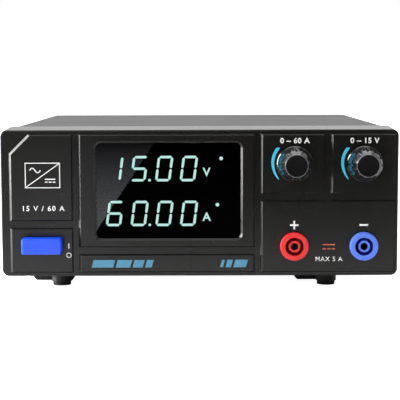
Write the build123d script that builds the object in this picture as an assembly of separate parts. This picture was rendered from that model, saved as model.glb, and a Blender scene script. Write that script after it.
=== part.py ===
from build123d import *
import os
from math import sqrt

os.makedirs("parts", exist_ok=True)

# Bench power supply for 15 V and 60 A, in millimetres, +Z up, the front towards -Y.
# Everything is drawn with y = 0 on the panel's face and is centred along Y when it is saved.

# Case
PANEL_W = 220.0
PANEL_H = 81.3
PANEL_BOTTOM = 10.1
PANEL_CORNER = 3.7
PANEL_EDGE_R = 0.8
CASE_D = 235.0
BEZEL_D = 25.0
BEZEL_FLARE = 1.0
BEZEL_WALL = 2.5
FACE_T = 2.5
COVER_STEP = 0.8
COVER_T = 1.2
COVER_CORNER = 5.0
CHASSIS_T = 1.5
CHASSIS_FLANGE = 14.0
SHEET_GAP = 0.1

# Raised pads of the panel
PAD_H = 1.15
PAD_BEVEL = 0.7
PAD_BEVEL_LEFT = 1.3
EDGE_LEFT = 4.7
EDGE_RIGHT = 1.8
EDGE_TOP = 2.3
EDGE_BOTTOM = 2.0
COLUMN_GROOVE = 3.1
ROW_GROOVE = 3.8
LABEL_W = 35.1
LABEL_CORNER = 10.6
CONTROL_W = 74.6
SWITCH_PAD_H = 25.1
STRIP_H = 10.3
JACK_PAD_H = 40.1

# Display
WINDOW_SIDE = 7.6
WINDOW_END = 3.8
WINDOW_SHIFT = 1.0
WINDOW_CORNER = 4.0
WINDOW_BEVEL = 1.1
LENS_T = 2.0
LENS_LEDGE = 1.6
LENS_RECESS = 1.7
LENS_FIT = 0.1
MODULE_GAP = 0.3
MODULE_RIM = 0.6

# Power button and switch
BUTTON_W = 21.8
BUTTON_H = 8.6
BUTTON_SHIFT = 0.75
BUTTON_Z = 17.8
BUTTON_OUT = 9.0
BUTTON_IN = 4.5
BUTTON_R = 1.0
BUTTON_FIT = 0.3
BUTTON_TRAVEL = 3.0
STEM_W = 6.0
STEM_H = 4.0
STEM_L = 6.5
SWITCH_WALL = 2.0
SWITCH_CLEAR = 2.5

# Knobs and encoders
KNOB_SPACING = 38.5
CONTROL_SHIFT = 0.75
KNOB_R = 8.1
KNOB_FRONT_R = 7.9
SKIRT_R = 9.0
SKIRT_L = 2.6
KNOB_GAP = 0.8
KNOB_L = 16.2
KNOB_EDGE = 0.6
KNOB_HOLLOW_R = 6.7
KNOB_HOLLOW_L = 6.0
FLUTES = 12
FLUTE_R = 0.8
CAP_R = 6.2
CAP_T = 1.4
CAP_SUNK = 0.5
SHAFT_R = 3.0
SHAFT_FLAT = 2.4
SHAFT_GRIP = 9.0
SHAFT_FIT = 0.06
BUSHING_R = 3.5
BUSHING_OUT = 5.0
BUSHING_FIT = 0.2
ENCODER_W = 13.0
ENCODER_D = 6.6
ENCODER_WALL = 1.2
ROTOR_R = 5.0
ROTOR_T = 2.6
ROTOR_GAP = 0.3
PUSH_TRAVEL = 0.5
ENCODER_NUT_W = 10.0
ENCODER_NUT_T = 2.0

# Front sockets
JACK_Z = 16.7
JACK_R = 7.85
JACK_OUT = 3.4
JACK_EDGE = 0.8
JACK_BARREL_R = 6.0
JACK_BARREL_L = 24.0
JACK_WELL_R = 5.05
JACK_WELL_D = 20.0
SLEEVE_R = 3.2
SLEEVE_BACK = 0.5
SLEEVE_LIP = 0.8
CONTACT_R = 2.65
CONTACT_BORE_R = 2.05
CONTACT_BORE_L = 18.0
CONTACT_FIT = 0.05
LIP_BORE_R = 2.15
TAIL_R = 1.5
TAIL_L = 7.0
JACK_NUT_R = 8.5
JACK_NUT_T = 4.0
JACK_FIT = 0.1

# Feet
FOOT_SETBACK = 7.5
FOOT_LEFT = 29.7
FOOT_RIGHT = 36.7
FOOT_PLATE_T = 2.0
FOOT_PLATE_LEFT = 20.0
FOOT_PLATE_RIGHT = 10.0
FOOT_PLATE_FRONT = 6.6
CUP_R = 5.9
CUP_BOTTOM = 2.2
FOOT_PAD_R = 5.2
FOOT_PAD_H = 4.5
FOOT_PAD_FIT = 0.05
LEG_FRONT = 8.5
LEG_W = 14.0
LEG_T = 4.0
LEG_L = 21.6
LEG_TIP = 1.6
LEG_BOTTOM = 1.0
LEG_AXIS_X = 4.0
LEG_BARREL_R = 2.4
LEG_PIN_R = 1.0
LEG_PIN_FIT = 0.05
LEG_SIDE_GAP = 0.2
EAR_T = 2.0
EAR_R = 2.4
REAR_FOOT_R = 7.0
REAR_FOOT_TAPER = 1.0
REAR_FOOT_SIDE = 32.2
REAR_FOOT_INSET = 20.0
FOOT_WELL_R = 3.8
FOOT_WELL_D = 6.0

# Screws
M3_R = 1.5
M3_HEAD_R = 2.8
M3_HEAD_H = 1.6
M3_L = 8.0
M3_FIT = 0.1
BOSS_R = 3.4
BOSS_INSET_X = 9.0
BOSS_INSET_LOW = 7.0
BOSS_INSET_HIGH = 9.5
BOARD_BOSS_R = 3.0
FAN_SCREW_R = 2.0
FAN_SCREW_L = 12.0
FAN_HEAD_R = 3.8
FAN_HEAD_H = 2.2
COVER_SCREW_FRONT = 23.0
COVER_SCREW_BACK = 13.0
COVER_SCREW_RISE = 8.0

# Vents of the cover
VENT_COUNT = 12
VENT_PITCH = 6.0
VENT_W = 2.6
VENT_H = 30.0
VENT_START = 35.0
VENT_BOTTOM = 38.0

# Front brace
BRACE_LEG = 16.0
BRACE_DEPTH = 12.0
BRACE_INSET = 6.0

# Fan
FAN_SIDE = 7.2
FAN_TOP = 3.4
FAN_W = 60.0
FAN_D = 25.0
FAN_CORNER = 3.0
FAN_DUCT_R = 28.6
FAN_HOLE_SPACING = 50.0
FAN_SEAT_T = 3.0
FAN_STRUT_W = 3.0
FAN_STRUTS = 4
STATOR_R = 10.4
STATOR_L = 12.0
BEARING_R = 4.0
FAN_SHAFT_R = 1.5
FAN_SHAFT_FIT = 0.04
HUB_R = 14.0
HUB_WALL = 1.5
HUB_FLOOR = 2.0
HUB_GAP = 0.6
BLADES = 7
BLADE_TIP_R = 27.7
BLADE_ROOT_CHORD = 15.0
BLADE_TIP_CHORD = 17.5
BLADE_ROOT_PITCH = 42.0
BLADE_TIP_PITCH = 58.0
BLADE_CAMBER = 1.8
BLADE_T = 1.3
GUARD_WIRE_R = 0.8
GUARD_SPOKE_R = 0.7
GUARD_LIFT = 0.9
GUARD_WELD = 0.3
GUARD_RINGS = (8.0, 17.0, 26.0)
GUARD_EYE_R = 3.2

# Mains inlet
INLET_SIDE = 7.2
INLET_Z = 50.0
INLET_FLANGE_W = 50.0
INLET_FLANGE_H = 22.6
INLET_FLANGE_T = 3.0
INLET_BODY_W = 27.4
INLET_BODY_H = 19.8
INLET_BODY_D = 22.0
INLET_WELL_W = 24.4
INLET_WELL_H = 16.7
INLET_WELL_D = 17.0
INLET_WELL_CORNER = 4.0
INLET_SCREW_SPACING = 40.0
INLET_FIT = 0.3
BLADE_PIN_W = 2.0
BLADE_PIN_H = 4.0
BLADE_PIN_L = 16.0
BLADE_PIN_TAIL = 8.0
PIN_SPACING = 14.0
EARTH_RISE = 4.0
PIN_FIT = 0.05

# Output studs at the rear
STUD_Z = 48.0
STUD_SPREAD = 3.0
STUD_R = 4.0
STUD_FREE = 16.0
STUD_GROOVE_R = 3.4
STUD_GROOVE_L = 1.0
STUD_HEAD_W = 13.0
STUD_HEAD_T = 5.3
STUD_FIT = 0.15
INSULATOR_W = 27.0
INSULATOR_T = 6.0
INSULATOR_CORNER = 4.0
BARREL_R = 8.0
BARREL_IN = 3.5
NUT_W = 13.0
NUT_T = 6.5
NUT_FLANGE_R = 8.8
NUT_FLANGE_T = 1.6
BUSBAR_W = 20.0
BUSBAR_T = 3.0
BUSBAR_FOOT = 22.0

# Main board and what stands on it
BOARD_T = 1.6
BOARD_RISE = 8.0
BOARD_SETBACK = 17.0
BOARD_BACK_GAP = 31.0
BOARD_SIDE_GAP = 9.0
STANDOFF_W = 6.0
STANDOFF_INSET = 7.0
CORE_X = -14.0
CORE_W = 56.0
CORE_L = 46.0
CORE_H = 25.0
CORE_LEG = 18.0
CORE_YOKE = 9.0
COIL_H = 42.0
COIL_GAP = 0.3
CHOKE_R = 19.0
CHOKE_HOLE_R = 9.0
CHOKE_H = 19.0
CHOKE_EDGE = 3.0
PRIMARY_CAP_R = 12.0
PRIMARY_CAP_H = 45.0
OUTPUT_CAP_R = 7.0
OUTPUT_CAP_H = 32.0
OUTPUT_CAPS = 6
PART_GAP = 1.5
SINK_L = 88.0
SINK_H = 48.0
SINK_BASE = 4.0
SINK_FIN = 16.0
SINK_FIN_T = 1.6
SINK_FINS = 7
SINK_SIDE = 30.4
SINK_SETBACK = 14.0
TRANSISTOR_W = 16.0
TRANSISTOR_H = 21.0
TRANSISTOR_T = 5.0
TRANSISTORS = 3
LEAD_R = 1.4
LEAD_BEND = 4.0
LEAD_STRAIGHT = 5.0
LEAD_SHIFT = 6.0
CONTROL_BOARD_T = 1.6
CONTROL_EDGE = 4.0

# Places that follow from the sizes above
PANEL_Z = PANEL_BOTTOM + PANEL_H / 2
CASE_W = PANEL_W + 2 * (BEZEL_FLARE - COVER_STEP)
CASE_BOTTOM = PANEL_BOTTOM - BEZEL_FLARE + COVER_STEP
CASE_TOP = PANEL_BOTTOM + PANEL_H + BEZEL_FLARE - COVER_STEP
REAR_INNER = CASE_D - CHASSIS_T
FLOOR_Z = CASE_BOTTOM + CHASSIS_T
CHASSIS_X = CASE_W / 2 - COVER_T - SHEET_GAP

LABEL_X0 = EDGE_LEFT - PANEL_W / 2
LABEL_X1 = LABEL_X0 + LABEL_W
DISPLAY_X0 = LABEL_X1 + COLUMN_GROOVE
CONTROL_X1 = PANEL_W / 2 - EDGE_RIGHT
CONTROL_X0 = CONTROL_X1 - CONTROL_W
DISPLAY_X1 = CONTROL_X0 - COLUMN_GROOVE
KNOB_PAD_W = (CONTROL_X1 - CONTROL_X0 - COLUMN_GROOVE) / 2
PADS_BOTTOM = PANEL_BOTTOM + EDGE_BOTTOM
PADS_TOP = PANEL_BOTTOM + PANEL_H - EDGE_TOP
LABEL_Z0 = PADS_BOTTOM + SWITCH_PAD_H + ROW_GROOVE
DISPLAY_Z0 = PADS_BOTTOM + STRIP_H + ROW_GROOVE
KNOB_PAD_Z0 = PADS_BOTTOM + JACK_PAD_H + ROW_GROOVE

WINDOW_W = DISPLAY_X1 - DISPLAY_X0 - 2 * WINDOW_SIDE
WINDOW_H = PADS_TOP - DISPLAY_Z0 - 2 * WINDOW_END
WINDOW_X = (DISPLAY_X0 + DISPLAY_X1) / 2 + WINDOW_SHIFT
WINDOW_Z = (DISPLAY_Z0 + PADS_TOP) / 2
LENS_Y = LENS_RECESS - PAD_H
MODULE_Y = LENS_Y + LENS_T + MODULE_GAP
CONTROL_Y = FACE_T + ENCODER_D
BUTTON_X = (LABEL_X0 + LABEL_X1) / 2 + BUTTON_SHIFT
BUTTON_CZ = PANEL_BOTTOM + BUTTON_Z
CONTROL_X = (CONTROL_X0 + CONTROL_X1) / 2 + CONTROL_SHIFT
KNOB_Z = (KNOB_PAD_Z0 + PADS_TOP) / 2
KNOB_XS = {"current": CONTROL_X - KNOB_SPACING / 2, "voltage": CONTROL_X + KNOB_SPACING / 2}
JACK_XS = {"positive": KNOB_XS["current"], "negative": KNOB_XS["voltage"]}
JACK_CZ = PANEL_BOTTOM + JACK_Z
KNOB_BACK = -PAD_H - KNOB_GAP
KNOB_FACE = KNOB_BACK - KNOB_L
JACK_FACE = -PAD_H - JACK_OUT
JACK_END = JACK_BARREL_L - PAD_H
CONTACT_FACE = JACK_FACE + SLEEVE_BACK + SLEEVE_LIP

FOOT_XS = {"left": FOOT_LEFT - CASE_W / 2, "right": CASE_W / 2 - FOOT_RIGHT}
FOOT_Y = BEZEL_D + FOOT_SETBACK
FOOT_PLATE_Z = CASE_BOTTOM - FOOT_PLATE_T
LEG_Y0 = FOOT_Y + LEG_FRONT
LEG_Y1 = LEG_Y0 + LEG_W
LEG_AXIS_Z = LEG_BOTTOM + LEG_BARREL_R
FOOT_PLATE_BACK = LEG_Y1 + LEG_SIDE_GAP + EAR_T
REAR_FOOT_Y = CASE_D - REAR_FOOT_INSET
REAR_FOOT_XS = (REAR_FOOT_SIDE - CASE_W / 2, CASE_W / 2 - REAR_FOOT_SIDE)

BOSS_XS = (-PANEL_W / 2 + BOSS_INSET_X, PANEL_W / 2 - BOSS_INSET_X)
BOSS_LOW_Z = PANEL_BOTTOM + BOSS_INSET_LOW
CONTROL_RIGHT = BOSS_XS[1] - BOSS_R - BUTTON_FIT
BOSS_HIGH_Z = PANEL_BOTTOM + PANEL_H - BOSS_INSET_HIGH
FAN_X = FAN_SIDE + FAN_W / 2 - CASE_W / 2
FAN_Z = CASE_TOP - COVER_T - FAN_TOP - FAN_W / 2
FAN_BACK = REAR_INNER
FAN_FRONT = FAN_BACK - FAN_D
INLET_X = CASE_W / 2 - INLET_SIDE - INLET_FLANGE_W / 2
STUD_MIDDLE = (FAN_X + FAN_W / 2 + INLET_X - INLET_FLANGE_W / 2) / 2
STUD_OFFSET = (INSULATOR_W + STUD_SPREAD) / 2
STUD_XS = {"positive": STUD_MIDDLE - STUD_OFFSET, "negative": STUD_MIDDLE + STUD_OFFSET}
NUT_END = CASE_D + INSULATOR_T + NUT_FLANGE_T + NUT_T
STUD_END = NUT_END + STUD_FREE
BARREL_END = REAR_INNER - BARREL_IN
BOARD_Z = FLOOR_Z + BOARD_RISE
BOARD_TOP = BOARD_Z + BOARD_T
BOARD_X = CHASSIS_X - CHASSIS_T - BOARD_SIDE_GAP
VENT_Y = BEZEL_D + VENT_START
COVER_SCREW_Y0 = BEZEL_D + COVER_SCREW_FRONT
COVER_SCREW_Y1 = CASE_D - COVER_SCREW_BACK
BOARD_FRONT = BEZEL_D + BOARD_SETBACK
BOARD_BACK = CASE_D - BOARD_BACK_GAP
STANDOFF_XS = (-BOARD_X + STANDOFF_INSET, BOARD_X - STANDOFF_INSET)
STANDOFF_YS = (
    BOARD_FRONT + STANDOFF_INSET,
    (BOARD_FRONT + BOARD_BACK) / 2,
    BOARD_BACK - STANDOFF_INSET,
)
CORE_Y = BOARD_FRONT + CHOKE_EDGE + CORE_L / 2
COIL_W = CORE_W - CORE_YOKE - 4 * COIL_GAP
CORE_Z = BOARD_TOP + COIL_H / 2
SINK_X = BOARD_X - SINK_SIDE
SINK_Y = BOARD_FRONT + SINK_SETBACK
LEAD_END = BOARD_FRONT + LEAD_BEND
CONTROL_LEFT = WINDOW_X - WINDOW_W / 2 - CONTROL_EDGE
CONTROL_TOP = WINDOW_Z + WINDOW_H / 2 + CONTROL_EDGE / 2
CONTROL_LOW = WINDOW_Z - WINDOW_H / 2 - CONTROL_EDGE
CONTROL_STEP_X = DISPLAY_X1
CONTROL_STEP_Z = KNOB_Z - ENCODER_W / 2 - CONTROL_EDGE
CONTROL_SCREWS = (
    (CONTROL_STEP_X - BOARD_BOSS_R, CONTROL_LOW + BOARD_BOSS_R),
    (CONTROL_X, KNOB_Z),
)

# The saved model's origin is in the middle of the whole length
ORIGIN_Y = (KNOB_FACE + STUD_END) / 2


def save(name, shape):
    """Write one node, with its solids moved so that the origin is mid-length."""
    solids = [Pos(0, -ORIGIN_Y, 0) * solid for solid in shape.solids()]
    export_step(Compound(children=solids), f"parts/{name}.step")


def facing(y):
    """Sketch plane at depth y that faces the front, x across and z up."""
    return Plane(origin=(0, y, 0), x_dir=(1, 0, 0), z_dir=(0, -1, 0))


def block(x, y, z):
    """Box between two limits in each direction."""
    size = Box(x[1] - x[0], y[1] - y[0], z[1] - z[0])
    return Pos((x[0] + x[1]) / 2, (y[0] + y[1]) / 2, (z[0] + z[1]) / 2) * size


def prism(sketch, y0, y1):
    """A front-facing sketch made solid between two depths."""
    return extrude(facing(y1) * sketch, amount=y1 - y0)


def rod(x, z, y0, y1, radius):
    """Round bar along Y."""
    return prism(Pos(x, z) * Circle(radius), y0, y1)


def post(x, y, z0, z1, radius):
    """Round bar along Z."""
    return Pos(x, y, (z0 + z1) / 2) * Cylinder(radius, z1 - z0)


def hexagon(width):
    """Hexagon with its width across the flats."""
    return RegularPolygon(radius=width / sqrt(3), side_count=6)


def d_section(radius, flat):
    """Round section with a flat on its upper side."""
    keep = Pos(0, (flat - radius) / 2) * Rectangle(2 * radius, flat + radius)
    return Circle(radius) & keep


def pan_screw(shank_r=M3_R, head_r=M3_HEAD_R, head_h=M3_HEAD_H, length=M3_L):
    """Pan-head screw with its head above z = 0 and its shank below."""
    head = fillet(
        (Pos(0, 0, head_h / 2) * Cylinder(head_r, head_h)).edges().group_by(Axis.Z)[-1],
        head_h / 2,
    )
    return head + Pos(0, 0, -length / 2) * Cylinder(shank_r, length)


TO_FRONT = Rot(90, 0, 0)
TO_REAR = Rot(-90, 0, 0)
TO_RIGHT = Rot(0, 90, 0)
TO_LEFT = Rot(0, -90, 0)
DOWN = Rot(180, 0, 0)


# Front bezel with its raised pads

def bezel_outline(y, inset):
    """Outline of the bezel at depth y, drawn in from the outside by inset."""
    grow = BEZEL_FLARE * y / BEZEL_D
    width = PANEL_W + 2 * (grow - inset)
    height = PANEL_H + 2 * (grow - inset)
    return facing(y) * Pos(0, PANEL_Z) * RectangleRounded(width, height, PANEL_CORNER + grow)


def raised_pad(x0, x1, z0, z1, corner=0.0):
    """Pad with bevelled sides, wider on its left, and a cut upper left corner."""
    top = corner - PAD_BEVEL + (sqrt(2) - 1) * PAD_BEVEL_LEFT
    foot_points = [(x0, z0), (x1, z0), (x1, z1)]
    face_points = [
        (x0 + PAD_BEVEL_LEFT, z0 + PAD_BEVEL),
        (x1 - PAD_BEVEL, z0 + PAD_BEVEL),
        (x1 - PAD_BEVEL, z1 - PAD_BEVEL),
    ]
    if corner:
        foot_points += [(x0 + corner, z1), (x0, z1 - corner)]
        left = x0 + PAD_BEVEL_LEFT
        face_points += [(left + top, z1 - PAD_BEVEL), (left, z1 - PAD_BEVEL - top)]
    else:
        foot_points.append((x0, z1))
        face_points.append((x0 + PAD_BEVEL_LEFT, z1 - PAD_BEVEL))
    foot = facing(0) * make_face(Polyline(*foot_points, close=True))
    face = facing(-PAD_H) * make_face(Polyline(*face_points, close=True))
    return loft([foot, face], ruled=True)


def window_cut():
    """Display opening: a bevelled mouth, a straight wall and the lens pocket behind."""
    centre = Pos(WINDOW_X, WINDOW_Z)
    inner_w = WINDOW_W - 2 * WINDOW_BEVEL
    inner_h = WINDOW_H - 2 * WINDOW_BEVEL
    inner_r = WINDOW_CORNER - WINDOW_BEVEL
    mouth = facing(-PAD_H) * centre * RectangleRounded(WINDOW_W, WINDOW_H, WINDOW_CORNER)
    throat = facing(WINDOW_BEVEL - PAD_H) * centre * RectangleRounded(inner_w, inner_h, inner_r)
    bevel = loft([mouth, throat], ruled=True)
    wall = prism(centre * RectangleRounded(inner_w, inner_h, inner_r), -PAD_H, LENS_Y)
    pocket_w = inner_w + 2 * (LENS_LEDGE + LENS_FIT)
    pocket_h = inner_h + 2 * (LENS_LEDGE + LENS_FIT)
    pocket = prism(centre * RectangleRounded(pocket_w, pocket_h, inner_r), LENS_Y, FACE_T)
    return bevel + wall + pocket


def bezel_pads():
    """The seven raised pads of the panel."""
    split = CONTROL_X0 + KNOB_PAD_W
    return [
        raised_pad(LABEL_X0, LABEL_X1, LABEL_Z0, PADS_TOP, LABEL_CORNER),
        raised_pad(LABEL_X0, LABEL_X1, PADS_BOTTOM, PADS_BOTTOM + SWITCH_PAD_H),
        raised_pad(DISPLAY_X0, DISPLAY_X1, DISPLAY_Z0, PADS_TOP),
        raised_pad(DISPLAY_X0, DISPLAY_X1, PADS_BOTTOM, PADS_BOTTOM + STRIP_H),
        raised_pad(CONTROL_X0, split, KNOB_PAD_Z0, PADS_TOP),
        raised_pad(split + COLUMN_GROOVE, CONTROL_X1, KNOB_PAD_Z0, PADS_TOP),
        raised_pad(CONTROL_X0, CONTROL_X1, PADS_BOTTOM, PADS_BOTTOM + JACK_PAD_H),
    ]


def button_hole():
    """Section of the hole that guides the power button."""
    fit = 2 * BUTTON_FIT
    return Pos(BUTTON_X, BUTTON_CZ) * Rectangle(BUTTON_W + fit, BUTTON_H + fit)


def front_bezel():
    """Moulded front frame: flared rim, face, pads, openings and screw posts."""
    outer = loft([bezel_outline(0, 0), bezel_outline(BEZEL_D, 0)])
    outer = fillet(outer.edges().group_by(Axis.Y)[0], PANEL_EDGE_R)
    hollow = loft([bezel_outline(FACE_T, BEZEL_WALL), bezel_outline(BEZEL_D, BEZEL_WALL)])
    shape = outer - hollow
    shape += bezel_pads()
    cuts = [window_cut(), prism(button_hole(), -PAD_H, FACE_T)]
    for x in KNOB_XS.values():
        cuts.append(rod(x, KNOB_Z, -PAD_H, FACE_T, BUSHING_R + BUSHING_FIT))
    for x in JACK_XS.values():
        cuts.append(rod(x, JACK_CZ, -PAD_H, FACE_T, JACK_BARREL_R + JACK_FIT))
    shape -= cuts
    posts = []
    holes = []
    for x in BOSS_XS:
        for z in (BOSS_LOW_Z, BOSS_HIGH_Z):
            posts.append(rod(x, z, FACE_T, BEZEL_D, BOSS_R))
            holes.append(rod(x, z, BEZEL_D - M3_L, BEZEL_D, M3_R + M3_FIT))
    for x, z in CONTROL_SCREWS:
        posts.append(rod(x, z, FACE_T, CONTROL_Y, BOARD_BOSS_R))
        holes.append(rod(x, z, FACE_T, CONTROL_Y, M3_R + M3_FIT))
    shape += posts
    return shape - holes


# Display and control board

def display_lens():
    """Smoked window, bonded into the pocket behind the opening."""
    width = WINDOW_W - 2 * WINDOW_BEVEL + 2 * LENS_LEDGE
    height = WINDOW_H - 2 * WINDOW_BEVEL + 2 * LENS_LEDGE
    corner = WINDOW_CORNER - WINDOW_BEVEL - LENS_FIT
    centre = Pos(WINDOW_X, WINDOW_Z)
    return prism(centre * RectangleRounded(width, height, corner), LENS_Y, LENS_Y + LENS_T)


def display_module():
    """Digit block on the control board, with a thin rim round its face."""
    width = WINDOW_W - 2 * WINDOW_BEVEL
    height = WINDOW_H - 2 * WINDOW_BEVEL
    body = block(
        (WINDOW_X - width / 2, WINDOW_X + width / 2),
        (MODULE_Y, CONTROL_Y),
        (WINDOW_Z - height / 2, WINDOW_Z + height / 2),
    )
    face = Rectangle(width - 4 * MODULE_RIM, height - 4 * MODULE_RIM)
    return body - prism(Pos(WINDOW_X, WINDOW_Z) * face, MODULE_Y, MODULE_Y + MODULE_RIM)


def control_board():
    """Board behind the display and the encoders, stepped clear of the sockets."""
    points = [
        (CONTROL_LEFT, CONTROL_LOW),
        (CONTROL_STEP_X, CONTROL_LOW),
        (CONTROL_STEP_X, CONTROL_STEP_Z),
        (CONTROL_RIGHT, CONTROL_STEP_Z),
        (CONTROL_RIGHT, CONTROL_TOP),
        (CONTROL_LEFT, CONTROL_TOP),
    ]
    board = prism(make_face(Polyline(*points, close=True)), CONTROL_Y, CONTROL_Y + CONTROL_BOARD_T)
    for x, z in CONTROL_SCREWS:
        board -= rod(x, z, CONTROL_Y, CONTROL_Y + CONTROL_BOARD_T, M3_R + M3_FIT)
    return board


# Power button and its switch

def power_button():
    """Push button with a stem that runs into the switch."""
    face = -PAD_H - BUTTON_OUT
    body = prism(Pos(BUTTON_X, BUTTON_CZ) * Rectangle(BUTTON_W, BUTTON_H), face, BUTTON_IN)
    body = fillet(body.edges().group_by(Axis.Y)[0] + body.edges().filter_by(Axis.Y), BUTTON_R)
    stem = Pos(BUTTON_X, BUTTON_CZ) * Rectangle(STEM_W, STEM_H)
    return body + prism(stem, BUTTON_IN, BUTTON_IN + STEM_L)


def power_switch():
    """Latching switch: a box with a guide well for the button and a bore for its stem."""
    width = BUTTON_W + 2 * BUTTON_FIT + 2 * SWITCH_WALL
    height = BUTTON_H + 2 * BUTTON_FIT + 2 * SWITCH_WALL
    back = BEZEL_D - SWITCH_CLEAR
    body = prism(Pos(BUTTON_X, BUTTON_CZ) * Rectangle(width, height), FACE_T, back)
    well_floor = BUTTON_IN + BUTTON_TRAVEL + BUTTON_FIT
    body -= prism(button_hole(), FACE_T, well_floor)
    fit = 2 * BUTTON_FIT
    stem = Pos(BUTTON_X, BUTTON_CZ) * Rectangle(STEM_W + fit, STEM_H + fit)
    return body - prism(stem, well_floor, well_floor + STEM_L)


# Knobs and encoders

def knob(x):
    """Turned knob with a skirt, flutes, a cap recess in front and a hollow behind."""
    profile = Polyline(
        (0, 0),
        (SKIRT_R, 0),
        (SKIRT_R, SKIRT_L - KNOB_EDGE),
        (SKIRT_R - KNOB_EDGE, SKIRT_L),
        (KNOB_R, SKIRT_L),
        (KNOB_FRONT_R, KNOB_L - KNOB_EDGE),
        (KNOB_FRONT_R - KNOB_EDGE, KNOB_L),
        (0, KNOB_L),
        close=True,
    )
    body = revolve(Plane.XZ * make_face(profile), Axis.Z)
    body -= Pos(0, 0, KNOB_HOLLOW_L / 2) * Cylinder(KNOB_HOLLOW_R, KNOB_HOLLOW_L)
    recess = CAP_T + CAP_SUNK
    body -= Pos(0, 0, KNOB_L - recess / 2) * Cylinder(CAP_R + SHAFT_FIT, recess)
    flute = Pos(KNOB_R, 0, (SKIRT_L + KNOB_L) / 2) * Cylinder(FLUTE_R, KNOB_L - SKIRT_L)
    body -= [Rot(0, 0, turn * 360 / FLUTES) * flute for turn in range(FLUTES)]
    bore = d_section(SHAFT_R + SHAFT_FIT, SHAFT_FLAT + SHAFT_FIT)
    body -= extrude(Pos(0, 0, KNOB_HOLLOW_L) * bore, amount=SHAFT_GRIP - KNOB_HOLLOW_L + SHAFT_FIT)
    return Pos(x, KNOB_BACK, KNOB_Z) * TO_FRONT * body


def knob_cap(x):
    """Disc in the front of the knob, with a shallow dish."""
    front = KNOB_FACE + CAP_SUNK
    disc = rod(x, KNOB_Z, front, front + CAP_T, CAP_R)
    return chamfer(disc.edges().group_by(Axis.Y)[0], CAP_SUNK / 2)


def encoder_shaft(x):
    """Shaft with a flat, which carries the knob and slides through the rotor."""
    section = Pos(x, KNOB_Z) * d_section(SHAFT_R, SHAFT_FLAT)
    back = FACE_T + ENCODER_D - ENCODER_WALL - PUSH_TRAVEL
    return prism(section, KNOB_BACK - SHAFT_GRIP, back)


def encoder_rotor(x):
    """Contact disc that the shaft turns."""
    y0 = FACE_T + ENCODER_WALL + ROTOR_GAP
    bore = d_section(SHAFT_R + SHAFT_FIT, SHAFT_FLAT + SHAFT_FIT)
    section = Pos(x, KNOB_Z) * (Circle(ROTOR_R) - bore)
    return prism(section, y0, y0 + ROTOR_T)


def encoder_body(x):
    """Encoder housing with its bushing, a cavity for the rotor and the shaft's bore."""
    centre = Pos(x, KNOB_Z)
    body = prism(centre * Rectangle(ENCODER_W, ENCODER_W), FACE_T, CONTROL_Y)
    bushing = rod(x, KNOB_Z, -PAD_H - BUSHING_OUT, FACE_T, BUSHING_R)
    cavity_y = FACE_T + ENCODER_WALL
    cavity = rod(x, KNOB_Z, cavity_y, cavity_y + ROTOR_T + 2 * ROTOR_GAP, ROTOR_R + ROTOR_GAP)
    bore_end = CONTROL_Y - ENCODER_WALL / 2
    bore = rod(x, KNOB_Z, -PAD_H - BUSHING_OUT, bore_end, SHAFT_R + SHAFT_FIT)
    return body + bushing - cavity - bore


def encoder_nuts():
    """Flat nuts that clamp the encoders to the panel."""
    nuts = []
    for x in KNOB_XS.values():
        section = hexagon(ENCODER_NUT_W) - Circle(BUSHING_R + M3_FIT)
        nuts.append(prism(Pos(x, KNOB_Z) * section, -PAD_H - ENCODER_NUT_T, -PAD_H))
    return Compound(children=nuts)


# Front sockets

def jack(x):
    """Insulated socket: flange, barrel, a ring-shaped well and the sleeve inside it."""
    flange = rod(x, JACK_CZ, JACK_FACE, -PAD_H, JACK_R)
    flange = fillet(flange.edges().group_by(Axis.Y)[0], JACK_EDGE)
    body = flange + rod(x, JACK_CZ, -PAD_H, JACK_END, JACK_BARREL_R)
    body -= rod(x, JACK_CZ, JACK_FACE, JACK_FACE + JACK_WELL_D, JACK_WELL_R)
    body += rod(x, JACK_CZ, JACK_FACE + SLEEVE_BACK, JACK_FACE + JACK_WELL_D, SLEEVE_R)
    body -= rod(x, JACK_CZ, JACK_FACE, CONTACT_FACE, LIP_BORE_R)
    return body - rod(x, JACK_CZ, CONTACT_FACE, JACK_END, CONTACT_R + CONTACT_FIT)


def jack_contact(x):
    """Turned socket contact for a 4 mm plug, with its solder tail."""
    body = rod(x, JACK_CZ, CONTACT_FACE, JACK_END, CONTACT_R)
    body -= rod(x, JACK_CZ, CONTACT_FACE, CONTACT_FACE + CONTACT_BORE_L, CONTACT_BORE_R)
    return body + rod(x, JACK_CZ, JACK_END, JACK_END + TAIL_L, TAIL_R)


def jack_nuts():
    """Rings that hold the sockets from behind."""
    nuts = []
    for x in JACK_XS.values():
        ring = rod(x, JACK_CZ, FACE_T, FACE_T + JACK_NUT_T, JACK_NUT_R)
        nuts.append(ring - rod(x, JACK_CZ, FACE_T, FACE_T + JACK_NUT_T, JACK_BARREL_R + JACK_FIT))
    return Compound(children=nuts)


def socket_leads():
    """Two leads from the sockets' tails down to the main board."""
    leads = []
    start = JACK_END + TAIL_L
    for x in JACK_XS.values():
        path = FilletPolyline(
            (x, start, JACK_CZ),
            (x, start + LEAD_STRAIGHT, JACK_CZ),
            (x - LEAD_SHIFT, LEAD_END, JACK_CZ),
            (x - LEAD_SHIFT, LEAD_END, BOARD_TOP),
            radius=LEAD_BEND,
        )
        leads.append(sweep(Plane(origin=path @ 0, z_dir=path % 0) * Circle(LEAD_R), path=path))
    return Compound(children=leads)


# Case

def cover_profile(inset):
    """Section of the cover, round at both upper edges."""
    width = CASE_W - 2 * inset
    top = CASE_TOP - inset
    height = top - CASE_BOTTOM
    sketch = Pos(0, CASE_BOTTOM + height / 2) * Rectangle(width, height)
    upper = sketch.vertices().group_by(Axis.Y)[-1]
    return fillet(upper, COVER_CORNER - inset)


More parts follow.
